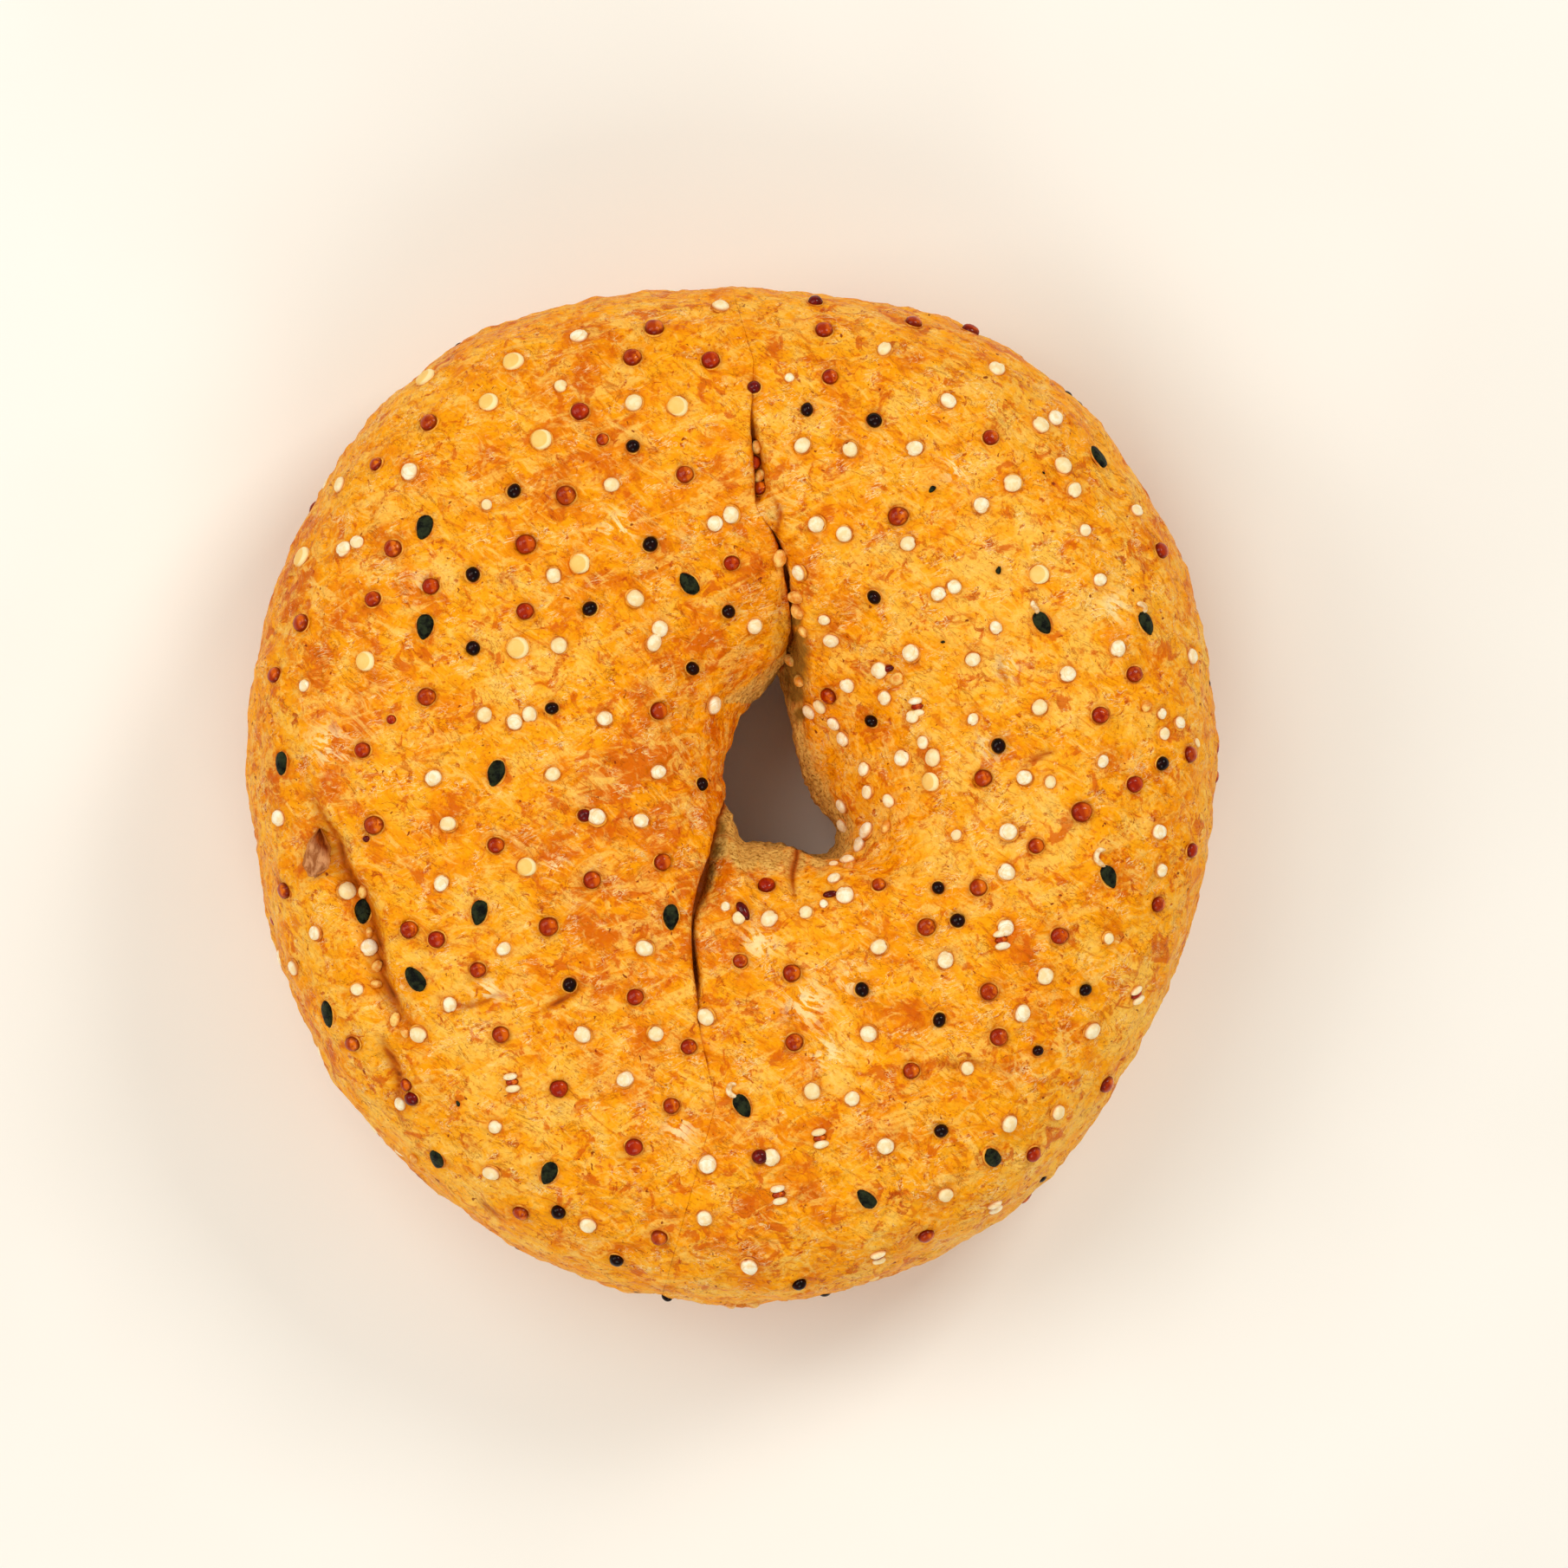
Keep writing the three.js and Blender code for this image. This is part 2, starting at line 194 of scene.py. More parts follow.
def cad_rim(angles):
    """The rim's radius at these angles, read from the CAD bread."""
    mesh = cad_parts["bread"].data
    corners = [v.co / MM for v in mesh.vertices]
    tree = BVHTree.FromPolygons(corners, [p.vertices[:] for p in mesh.polygons])
    well_outside = 2 * max(cad_high) / MM
    turns = np.linspace(0, 2 * np.pi, RIM_TURNS, endpoint=False)
    radii = []
    for turn in turns:
        out = Vector((math.cos(turn), math.sin(turn), 0))
        hit, _, _, _ = tree.ray_cast(out * well_outside + UP * WIDEST_HEIGHT, -out)
        radii.append(hit.xy.length)
    reach = 3 * RIM_BLUR
    window = np.exp(-0.5 * (np.arange(-reach, reach + 1) / RIM_BLUR) ** 2)
    looped = np.concatenate([radii[-reach:], radii, radii[:reach]])
    smooth = np.convolve(looped, window / window.sum(), "valid")
    return np.interp(angles, turns, smooth, period=2 * np.pi)


def rim_points(angles):
    return cad_rim(angles)[:, None] * np.column_stack([np.cos(angles), np.sin(angles)])


def hole_points(angles):
    """Points on the hole's outline that face the rim at these angles, so that the seams end in place."""
    top, bottom = SEAMS["top"], SEAMS["bottom"]
    rim_turns = [top["rim_turn"], bottom["rim_turn"], top["rim_turn"] + 2 * math.pi]
    hole_turns = [top["hole_turn"], bottom["hole_turn"], top["hole_turn"] + 2 * math.pi]
    past_top = np.mod(np.asarray(angles) - rim_turns[0], 2 * np.pi) + rim_turns[0]
    angles = np.interp(past_top, rim_turns, hole_turns)
    points = on_curve(HOLE_OUTLINE + HOLE_OUTLINE[:1], 400) - HOLE_CENTRE
    turns = np.mod(np.arctan2(points[:, 1], points[:, 0]), 2 * np.pi)
    order = np.argsort(turns)
    radii = np.interp(angles, turns[order], np.hypot(*points.T)[order], period=2 * np.pi)
    ragged = [noise.noise(Vector((3 * math.cos(a), 3 * math.sin(a), 4))) for a in angles]
    finer = [noise.noise(Vector((9 * math.cos(a), 9 * math.sin(a), 6))) for a in angles]
    radii += HOLE_RAGGED * (np.array(ragged) + 0.5 * np.array(finer))
    return HOLE_CENTRE + radii[:, None] * np.column_stack([np.cos(angles), np.sin(angles)])


def section_angles():
    """Angles round the section that space its vertices evenly, and wider on the underside."""
    dense = np.linspace(0, 2 * np.pi, 4001)
    is_top = np.sin(dense) > 0
    squareness = np.where(is_top, OUTER_SQUARENESS, BASE_SQUARENESS)
    x = squared(np.cos(dense), squareness) * REFERENCE_HALF_WIDTH
    z = np.maximum(squared(np.sin(dense), squareness) * REFERENCE_HALF_WIDTH, -WIDEST_HEIGHT)
    steps = np.hypot(np.diff(x), np.diff(z)) / np.where(z[1:] < -BASE_START * WIDEST_HEIGHT, BASE_SPACING, 1)
    along = np.concatenate([[0], np.cumsum(steps)])
    return np.interp(np.linspace(0, along[-1], SECTION_COUNT, endpoint=False), along, dense)


def ring_sections():
    """For each cross-section, its turn, and for each seam its side (-1 left, 1 right) and its wall share."""
    rows = [(turn, {}, {}) for turn in np.linspace(0, 2 * np.pi, RING_COUNT, endpoint=False)]
    widest = (SEAM_OFFSETS[-1] + SEAM_CLEARANCE) / SEAM_OFFSET_RADIUS
    for name, seam in SEAMS.items():
        rows = [row for row in rows if abs(row[0] - seam["rim_turn"]) > widest]
        added = [(-offset, -1, 0) for offset in reversed(SEAM_OFFSETS)] + [(0, -1, 0)]
        added += [(0, 0, share) for share in WALL_SHARES]
        added += [(offset, 1, 0) for offset in [0] + SEAM_OFFSETS]
        made = [
            (seam["rim_turn"] - seam["left"] * offset / SEAM_OFFSET_RADIUS, {name: side}, {name: share})
            for offset, side, share in added
        ]
        if seam["left"] > 0:
            made.reverse()
        place = sum(row[0] < seam["rim_turn"] for row in rows)
        rows[place:place] = made
    turns = np.array([row[0] for row in rows])
    sides, walls = {}, {}
    for name, seam in SEAMS.items():
        plain = np.where((turns > seam["rim_turn"]) == (seam["left"] > 0), -1, 1)
        sides[name] = np.array([row[1].get(name, side) for row, side in zip(rows, plain)])
        walls[name] = np.array([row[2].get(name, 0) for row in rows], float)
    return turns, sides, walls


def creases(xy):
    """How far the shallow folds pull the crust down at each point, and how dark they are painted there, as
    burnt colour with painted shade.
    """
    total, shade = np.zeros(len(xy)), np.zeros(len(xy))
    for knots, left, right in CREASES:
        line = on_curve(knots, CREASE_STEPS)
        nearest = np.full(len(xy), np.inf)
        index = np.zeros(len(xy), int)
        for i, (x, y, _) in enumerate(line):
            distance = np.hypot(xy[:, 0] - x, xy[:, 1] - y)
            closer = distance < nearest
            nearest[closer] = distance[closer]
            index[closer] = i
        ahead = np.gradient(line[:, :2], axis=0)[index]
        offset = xy - line[index, :2]
        step = np.linalg.norm(ahead, axis=1)
        sideways = (offset[:, 0] * ahead[:, 1] - offset[:, 1] * ahead[:, 0]) / step
        lengthways = np.abs((offset * ahead).sum(axis=1)) / step
        nearest = np.hypot(sideways, np.maximum(lengthways - step / 2, 0))
        is_east = sideways * np.sign(ahead[:, 1]) > 0
        reach = np.clip(nearest / np.where(is_east, right, left), 0, 1)
        total += line[index, 2] * np.where(is_east, (1 - reach) ** 1.5, (1 - reach**2) ** 2)
        swelling = np.exp(-(((nearest - right - SWELL_PLACE) / SWELL_WIDTH) ** 2)) * is_east
        total -= FOLD_SWELL * line[index, 2] * swelling * (left > WIDE_FOLD)
        # Burnt colour with painted shade along each crease, strongest at its line.
        burn_and_shade_reach = np.where(is_east, RIGHT_BURN_AND_SHADE, max(LEFT_BURN_AND_SHADE * left, LEAST_LEFT_BURN_AND_SHADE))
        burn_and_shade_depth = FOLD_BURN_AND_SHADE_DEPTH if left > WIDE_FOLD else CREASE_BURN_AND_SHADE_DEPTH
        strength = np.clip(line[index, 2] / burn_and_shade_depth, 0, 1)
        shade = np.maximum(shade, CREASE_BURN_AND_SHADE * np.exp(-nearest / burn_and_shade_reach) * strength)
    return total, shade


class Crust:
    """The ring of dough as a grid of points, each row a cross-section, with values for each point."""

    def __init__(self):
        turns, sides, walls = ring_sections()
        angles = section_angles()
        sine, cosine = np.sin(angles), np.cos(angles)
        self.is_top = np.broadcast_to(sine > 0, (len(turns), len(angles)))
        inner = INNER_SQUARENESS - INNER_SQUARENESS_SWING * np.cos(turns - INNER_SLOPE_TURN)
        top = np.where(cosine[None, :] < 0, inner[:, None], OUTER_SQUARENESS)
        squareness = np.where(self.is_top, top, BASE_SQUARENESS)
        self.share = (1 + squared(cosine[None, :], squareness)) / 2
        self.rise = squared(sine[None, :], squareness)
        hole, rim = hole_points(turns), rim_points(turns)
        self.xy = hole[:, None, :] + (rim - hole)[:, None, :] * self.share[:, :, None]
        self.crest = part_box("bread")[1].z / MM - CREST_TILT * (0.5 + self.xy[:, :, 0] / (2 * rim[:, 0].max()))
        self.plain = self.solid(0)
        self.drop = np.zeros_like(self.share)
        self.shade = np.zeros_like(self.share)
        for name, seam in SEAMS.items():
            self.fold(seam, sides[name], walls[name])
        is_left = (sides["bottom"] < 0) & (sides["top"] < 0)
        self.left_lobe = is_left[:, None] & np.ones(self.share.shape, bool)
        depth, shade = creases(self.xy.reshape(-1, 2))
        self.drop += depth.reshape(self.drop.shape)
        self.shade = np.maximum(self.shade, shade.reshape(self.drop.shape) * self.is_top)

    def fold(self, seam, side, wall):
        """Bends the sections along a seam, and sinks them into its gap."""
        start = hole_points([seam["rim_turn"]])[0]
        run = rim_points(np.array([seam["rim_turn"]]))[0] - start
        line = on_curve(seam["knots"], 200)
        shares = (line[:, :2] - start) @ run / (run @ run)
        shares = np.append(shares, 1)
        line = np.vstack([line, [*(start + run), 0, 0, 1]])
        x, y, depth, gap, width = (np.interp(self.share, shares, column) for column in line.T)
        base = start + run * self.share[:, :, None]
        pull = np.dstack([x, y]) - base
        distance = np.linalg.norm(self.xy - base, axis=2)
        across = np.array([run[1], -run[0]]) / np.linalg.norm(run) * np.sign(run[1])
        self.xy = self.xy + pull * np.exp(-((distance / SEAM_PULL) ** 2))[:, :, None]
        lip = np.clip(0.5 * depth, LEAST_LIP_RADIUS, MOST_LIP_RADIUS)
        lip_drop = np.minimum(0.9 * lip, 0.8 * depth)
        side = side[:, None]
        wall = wall[:, None]
        left = lip_drop * shoulder(distance, lip)
        right = depth * np.clip(1 - np.maximum(distance - gap, 0) / np.maximum(width, 0.01), 0, 1) ** 2
        down = lip_drop + wall * (depth - lip_drop)
        drop = np.where(side < 0, left, np.where(side > 0, right, down))
        undercut = np.minimum(UNDERCUT_SHARE * depth, MOST_UNDERCUT) * np.sin(np.pi * wall) * self.is_top
        self.xy -= across * undercut[:, :, None] * (side == 0)[:, :, None]
        self.drop = np.maximum(self.drop, drop)
        # The seam's walls and edges are painted darker: partly burnt colour, partly painted shade where the gap
        # lies in shadow.
        deep = np.clip(depth / BURNT_AND_SHADED_DEPTH, 0, 1)
        edge = SEAM_BURN_AND_SHADE[0] * np.exp(-distance / SEAM_BURN_AND_SHADE[1])
        beyond = GAP_BURN_AND_SHADE[0] * np.exp(-np.maximum(distance - gap, 0) / GAP_BURN_AND_SHADE[1])
        near = np.where(side == 0, 1, np.where(side < 0, edge, beyond))
        self.shade = np.maximum(self.shade, deep * near * self.is_top)

    def solid(self, drop):
        """The grid's points with the seams sunk by drop."""
        over = np.maximum(WIDEST_HEIGHT + (self.crest - WIDEST_HEIGHT - drop) * self.rise, WIDEST_HEIGHT)
        under = np.maximum(WIDEST_HEIGHT + (WIDEST_HEIGHT + BASE_SAG) * self.rise, 0)
        return np.dstack([self.xy, np.where(self.is_top, over, under)])

    def normals(self):
        """Normals of the crust without its seams, so that both sides of a gap move alike."""
        span = len(WALL_SHARES) + 4
        around = np.roll(self.plain, -span, axis=0) - np.roll(self.plain, span, axis=0)
        along = np.roll(self.plain, -2, axis=1) - np.roll(self.plain, 2, axis=1)
        normals = np.cross(around, along)
        return normals / np.linalg.norm(normals, axis=2)[:, :, None]


def grid_faces(rows, columns, row_loop=True, column_loop=True):
    """Quads over a grid of points, which may close on itself each way."""
    i, j = np.meshgrid(np.arange(rows - 1 + row_loop), np.arange(columns - 1 + column_loop), indexing="ij")
    corners = [(i, j), (i, j + 1), (i + 1, j + 1), (i + 1, j)]
    return np.dstack([(a % rows) * columns + b % columns for a, b in corners]).reshape(-1, 4)


def make_object(name, points, faces):
    """An object from points in millimetres."""
    mesh = bpy.data.meshes.new(name)
    mesh.from_pydata((np.asarray(points) * MM).tolist(), [], [list(map(int, face)) for face in faces])
    mesh.shade_smooth()
    thing = bpy.data.objects.new(name, mesh)
    bpy.context.scene.collection.objects.link(thing)
    return thing


def points_of(thing, what="vertices"):
    """An object's vertices in millimetres, or their normals."""
    values = np.empty(3 * len(thing.data.vertices))
    if what == "normals":
        thing.data.vertices.foreach_get("normal", values)
        return values.reshape(-1, 3)
    thing.data.vertices.foreach_get("co", values)
    return values.reshape(-1, 3) / MM


def set_points(thing, points):
    thing.data.vertices.foreach_set("co", (points * MM).ravel())
    thing.data.update()


def lumps(points, layers):
    """Layers of smooth noise, each (frequency per mm, height), at each point."""
    total = np.zeros(len(points))
    for frequency, height in layers:
        total += height * np.array([noise.noise(Vector(p)) for p in points * frequency])
    return total


def recalculate_normals(thing):
    made = bmesh.new()
    made.from_mesh(thing.data)
    bmesh.ops.recalc_face_normals(made, faces=made.faces)
    made.to_mesh(thing.data)
    made.free()


crust = Crust()
smooth_points = crust.solid(crust.drop).reshape(-1, 3)
above_base = np.clip(smooth_points[:, 2:] / 4, 0, 1)
bulge = crust.normals().reshape(-1, 3) * lumps(smooth_points, LUMPS)[:, None] * above_base
outward = grid_faces(*crust.share.shape)[:, [0, 3, 2, 1]]
bread = make_object("crust", smooth_points + bulge, outward)
recalculate_normals(bread)
bread_tree = BVHTree.FromPolygons(points_of(bread).tolist(), [p.vertices[:] for p in bread.data.polygons])

# ---------------------------------------------------------------- where the toppings lie

# Grains past those in the CAD model: (x, y). A third number is a scale.
MORE_WHITE = [
    (-1.3, 56.5), (-17.5, 53.0), (-19.6, 47.3, 0.8), (-11.2, 45.4), (17.6, 51.6), (24.8, 45.6),
    (6.6, 48.3, 0.6), (30.4, 49.3), (35.4, 42.9), (37.1, 43.7), (8.1, 40.5), (13.6, 40.1), (21.0, 40.2),
    (32.2, 36.2), (38.0, 38.2, 1.05), (39.3, 35.4), (28.6, 33.7), (46.5, 33.1, 0.8), (40.5, 30.8, 0.8),
    (-36.9, 37.5), (-13.8, 36.0), (-28.1, 33.7, 0.7), (-44.5, 28.6), (-43.0, 29.4, 0.9), (-20.4, 25.6),
    (-11.1, 23.0), (-19.8, 17.6), (-49.0, 13.0, 0.8), (-0.1, 32.6), (9.7, 31.5), (12.9, 30.4), (20.2, 29.3),
    (7.8, 26.0), (2.6, 19.9), (-8.3, 19.5), (-9.0, 17.9), (11.4, 18.3), (10.6, 20.6, 0.7), (23.8, 23.5),
    (25.5, 24.3, 0.9), (42.2, 25.1, 0.9), (30.3, 19.6, 0.8), (44.3, 17.2), (52.8, 16.4), (20.6, 16.7),
    (27.7, 16.0, 0.9), (17.0, 14.8), (17.6, 11.6, 0.9), (13.3, 13.1, 0.9), (38.5, 14.3), (27.7, 9.1, 0.8),
    (9.0, 10.1), (10.2, 10.7, 0.9), (11.8, 8.7, 0.85), (12.9, 6.9), (20.8, 9.4, 0.8), (22.0, 6.5, 0.8),
    (23.2, 4.7), (19.6, 4.7), (15.3, 3.4, 0.9), (15.7, 0.8, 0.85), (18.1, -0.2, 0.8), (12.8, -0.8, 0.9),
    (12.7, -3.2, 0.9), (15.6, -3.7), (14.9, -5.3), (13.3, -7.2), (11.7, -7.6, 0.6), (11.8, -9.2, 0.8),
    (13.0, -11.1, 1.1), (10.6, -12.1, 0.6), (8.5, -13.1, 0.85), (4.3, -13.8, 1.1), (0.8, -13.7, 0.8),
    (-0.7, -12.4, 0.6), (-2.2, 10.8, 1.05), (-14.6, 9.2), (-28.4, 9.6), (-24.9, 8.8), (-23.2, 9.7, 0.9),
    (-34.2, 2.4), (-20.5, 2.8), (-8.5, 3.1), (-52.0, -2.2), (-32.5, -2.9), (-15.5, -2.1, 1.1),
    (-33.3, -9.7), (-44.2, -10.6), (-47.8, -15.4, 0.8), (-41.7, -17.1), (-26.1, -17.2, 0.9), (-50.3, -19.4),
    (-43.0, -21.9, 0.7), (-32.4, -23.6, 0.9), (-35.9, -27.0), (-10.0, -17.1, 1.05), (-17.1, -27.0),
    (-8.7, -26.9), (-2.9, -25.0, 1.1), (16.9, -17.0, 1.05), (24.5, -18.5), (15.7, -26.9), (25.8, -4.2, 0.7),
    (42.5, 4.3, 0.8), (33.6, 2.4), (36.5, 1.9, 0.8), (51.4, 8.7, 0.8), (49.6, 7.5, 0.8), (49.3, 9.8, 0.7),
    (53.4, 6.4, 0.6), (49.0, -3.8), (31.5, -8.4, 1.1), (49.3, -8.2, 0.8), (31.4, -14.7), (43.2, -16.0, 0.7),
    (35.9, -20.3), (33.3, -24.6, 1.05), (41.3, -26.6), (27.0, -30.9, 0.85), (9.2, -33.5), (13.8, -34.4),
    (17.6, -39.8, 1.05), (4.5, -41.1, 1.05), (-2.8, -41.9), (31.8, -37.2, 1.05), (37.4, -36.0, 0.9),
    (24.5, -45.4, 1.05), (-3.1, -48.1), (2.0, -53.6, 1.1), (-12.2, -32.2, 1.05), (-38.0, -35.0, 0.9),
    (-27.1, -37.6, 0.9), (-27.6, -42.9, 1.05), (-16.5, -48.9),
]
# Grains that stand on edge in two pale halves with a red line between them: the middle of each pair.
SPLIT = [
    (10.1, -38.9), (5.4, -45.4), (16.8, -52.6), (46.5, -22.5), (-25.2, -32.5), (21.3, 10.6), (30.9, -16.2),
    (30.2, -46.8),
]
MORE_GOLDEN = [
    (-35.2, 48.4), (-27.9, 45.5), (-21.8, 41.2), (-6.2, 45.0), (-49.4, 27.8), (-17.4, 27.0), (-24.5, 17.3),
    (-23.5, -7.8),
]
AMBER = [
    (5.5, 27.6, 1.25), (7.4, 23.2, 1.3), (7.7, 21.5, 1.4), (8.3, 19.2, 0.9), (6.7, 16.0), (7.9, 13.6, 1.2),
    (3.2, 37.0), (2.9, 40.4), (-42.3, -10.6), (-41.7, -15.4, 0.8), (-40.7, -19.2), (-40.8, -21.3, 0.8),
    (-38.6, -25.3), (-37.5, -26.8, 0.8), (17.8, -3.3), (-0.1, -58.2), (2.4, -58.3), (-36.6, -41.4, 0.7),
    (47.6, 10.6, 0.8), (19.0, 13.8, 1.1), (13.4, -7.9, 0.8),
]
MORE_RED = [
    (-17.4, 44.4, 1.1), (-11.4, 50.6), (-8.9, 54.0, 1.1), (-2.4, 50.3, 1.1), (10.6, 53.8, 1.1),
    (20.9, 54.7), (11.3, 48.4, 0.9), (-40.8, 38.4, 0.8), (-19.0, 34.8, 1.1), (-23.6, 29.2, 1.1),
    (-38.8, 28.7), (-41.1, 22.9), (-49.4, 20.2), (-23.7, 21.5), (0.0, 27.1), (19.1, 32.4, 1.1),
    (-52.5, 14.2), (49.3, 28.5), (46.2, 14.3), (11.2, 11.9), (-35.0, 11.7), (-39.0, 9.1, 0.6), (-8.4, 10.1),
    (-42.3, 5.6, 0.9), (-41.0, -3.0, 1.1), (-51.3, -10.5), (-16.0, -9.3), (-37.0, -15.0), (-33.8, -16.1),
    (-21.0, -14.6, 1.1), (-29.1, -19.6), (4.0, -10.0), (1.0, -18.6, 0.9), (6.9, -20.0), (16.9, -9.9, 0.8),
    (28.3, -10.2), (28.9, 2.4), (52.6, 5.1), (40.1, -1.5, 1.15), (34.9, -5.4), (52.8, -5.9, 0.9),
    (48.9, -12.1), (37.6, -15.7), (29.5, -22.1), (30.6, -27.3), (20.6, -31.2), (34.6, -40.8), (22.3, -50.1),
    (7.2, -27.9), (-4.9, -28.4), (-6.9, -35.2), (-11.2, -39.9), (-19.8, -33.2), (-26.5, -27.0),
    (-43.5, -28.1), (-37.3, -32.8, 0.8), (-24.2, -47.5), (-8.3, -50.3), (43.0, -32.8), (2.5, 38.6),
    (3.3, 35.6, 0.8), (27.6, 54.2), (-14.8, 41.2, 0.7),
]
MORE_BLACK = [
    (23.7, -10.2, 0.9), (23.8, -25.3), (35.1, -28.9, 0.75), (24.0, -38.1), (-18.6, -21.3), (-13.2, -52.9),
    (7.7, -55.7), (-7.4, -57.1, 0.8),
]
MAROON = [(2.6, 47.2), (9.6, 57.1), (-16.9, -1.9), (3.2, -41.0), (-36.7, -34.4, 1.05), (-41.9, -4.6, 0.5)]
LONG_MAROON = [(1.3, -12.9), (11.3, -11.0, 0.8), (18.0, 15.0, 0.7)]
CHIPS = [
    (23.0, 35.5), (30.6, 26.2), (35.8, 37.4, 0.5), (-31.4, -35.0, 0.7), (24.2, 18.0, 0.5),
    (52.4, -10.4, 0.5),
]

# Which way grains point, in degrees: one for all of a kind, or one each.
GOLDEN_TURN = 0
RED_TURN = 15
MAROON_TURN = 0
SPLIT_TURN = 12
LONG_MAROON_TURNS = [-62, 10, 20]
SESAME_TURNS = [255, 265, 263, 252, 270, 260, 125, 255, 250, 245, 268, 130, 110, 130, 130]
SPROUT_TURNS = [305, 295, 300, 300]

# Each kind's length, width and thickness, how square its edge is (2 is round), how pointed its +X end is, how
# deep its deepest notch is and how lumpy it is.
KINDS = {
    "white": (2.0, 1.9, 1.2, 2.6, 0.0, 0.22, 0.09),
    "golden": (2.4, 2.3, 1.0, 3.0, 0.0, 0.1, 0.07),
    "amber": (1.7, 1.25, 1.1, 2.2, 0.1, 0.15, 0.07),
    "red": (2.05, 1.95, 1.4, 2.3, 0.06, 0.1, 0.07),
    "black": (1.75, 1.65, 1.5, 2.1, 0.03, 0.05, 0.07),
    "maroon": (1.75, 1.65, 1.5, 2.1, 0.03, 0.05, 0.07),
    "split": (1.9, 0.95, 1.2, 2.2, 0.0, 0.0, 0.07),
    "long": (2.3, 1.15, 1.2, 2.2, 0.05, 0.0, 0.07),
    "chip": (1.0, 0.6, 0.5, 2.0, 0.3, 0.3, 0.2),
    "sesame": (2.85, 1.85, 0.9, 2.3, 0.17, 0.0, 0.13),
}
SIZE_JITTER = 0.08  # how much larger or smaller a grain may be
WIDTHS = (0.86, 1.04)  # how much a grain's width varies
MOST_LEAN = 0.25  # of a grain out of the crust's slope, in radians
SIDE_GRAINS = {"white": 60, "red": 27, "black": 16, "golden": 7}
SIDE_LOW, SIDE_HIGH = 3.5, 21.0  # heights between which grains are scattered on the rim's steep side
SIDE_SINK = 0.6  # how much deeper they sit, so that they hardly show past the rim from above
SIDE_SCALES = (0.85, 1.1)
MOST_SIDE_LEAN = 0.3
RAY_START = 80.0  # well outside the bagel
ABOVE_WIDEST = 4.0  # where to look for the nearest crust, past the widest height
PROBE = 0.9  # how far out the crust is felt for its slope round a grain
MOST_SINK = 0.6  # how far a grain in a gap may be below the crust round it


def from_frame(prefix):
    """Where the CAD grains of a kind lie, seen from above."""
    places = []
    for name in sorted(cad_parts):
        if name.startswith(prefix):
            low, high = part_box(name)
            places.append(tuple(((low + high) / (2 * MM)).xy))
    return places


def on_crust(x, y):
    """(point, outward normal) of the crust at a place seen from above."""
    hits = []
    for dx, dy in ((0, 0), (PROBE, 0), (-PROBE, 0), (0, PROBE), (0, -PROBE)):
        hit, normal, _, _ = bread_tree.ray_cast(Vector((x + dx, y + dy, RAY_START)), -UP)
        if hit and hit.z > WIDEST_HEIGHT:
            hits.append((hit, normal))
    if len(hits) < 5:
        hit, normal, _, _ = bread_tree.find_nearest(Vector((x, y, WIDEST_HEIGHT + ABOVE_WIDEST)))
        return hit, normal
    point = hits[0][0]
    point.z = max(point.z, sum(hit.z for hit, _ in hits[1:]) / 4 - MOST_SINK)
    return point, sum((normal for _, normal in hits), Vector()).normalized()


def on_side(turn, height):
    """(point, outward normal) of the crust's side, in a direction and at a height."""
    out = Vector((math.cos(turn), math.sin(turn), 0))
    hit, normal, _, _ = bread_tree.ray_cast(out * RAY_START + UP * height, -out)
    return hit, normal


class Grain:
    """One topping: where it lies, which way its length points, and its size."""

    def __init__(self, kind, point, normal, turn, scale):
        self.kind = kind
        self.point = point
        self.normal = normal
        self.size = np.array(KINDS[kind][:3]) * scale
        flat = Vector((math.cos(turn), math.sin(turn), 0))
        along = (flat - normal * flat.dot(normal)).normalized()
        self.axes = Matrix((along, normal.cross(along), normal)).transposed()

    def tipped(self, lean, toward):
        """The same grain leaning by an angle, about an axis in the crust."""
        there, back = (Matrix.Rotation(angle, 3, "Z") for angle in (toward, -toward))
        self.axes = self.axes @ (there @ Matrix.Rotation(lean, 3, "X") @ back)
        return self


def lay(kind, places, turns=None):
    """Grains of a kind on the crust. Without turns they lie and lean at random, and their widths vary."""
    grains = []
    for i, (x, y, *rest) in enumerate(places):
        if turns is None:
            turn = rng.uniform(0, 2 * math.pi)
        else:
            turn = math.radians(np.broadcast_to(turns, len(places))[i])
        scale = (rest[0] if rest else 1) * rng.uniform(1 - SIZE_JITTER, 1 + SIZE_JITTER)
        grain = Grain(kind, *on_crust(x, y), turn, scale)
        if turns is None:
            grain.size[1] *= rng.uniform(*WIDTHS)
            grain.tipped(rng.uniform(0, MOST_LEAN), rng.uniform(0, 2 * math.pi))
        grains.append(grain)
    return grains


sides = {}
for kind, count in SIDE_GRAINS.items():
    sides[kind] = []
    for _ in range(count):
        point, normal = on_side(rng.uniform(0, 2 * math.pi), rng.uniform(SIDE_LOW, SIDE_HIGH))
        point -= normal * SIDE_SINK
        grain = Grain(kind, point, normal, rng.uniform(0, 2 * math.pi), rng.uniform(*SIDE_SCALES))
        sides[kind].append(grain.tipped(rng.uniform(0, MOST_SIDE_LEAN), rng.uniform(0, 2 * math.pi)))

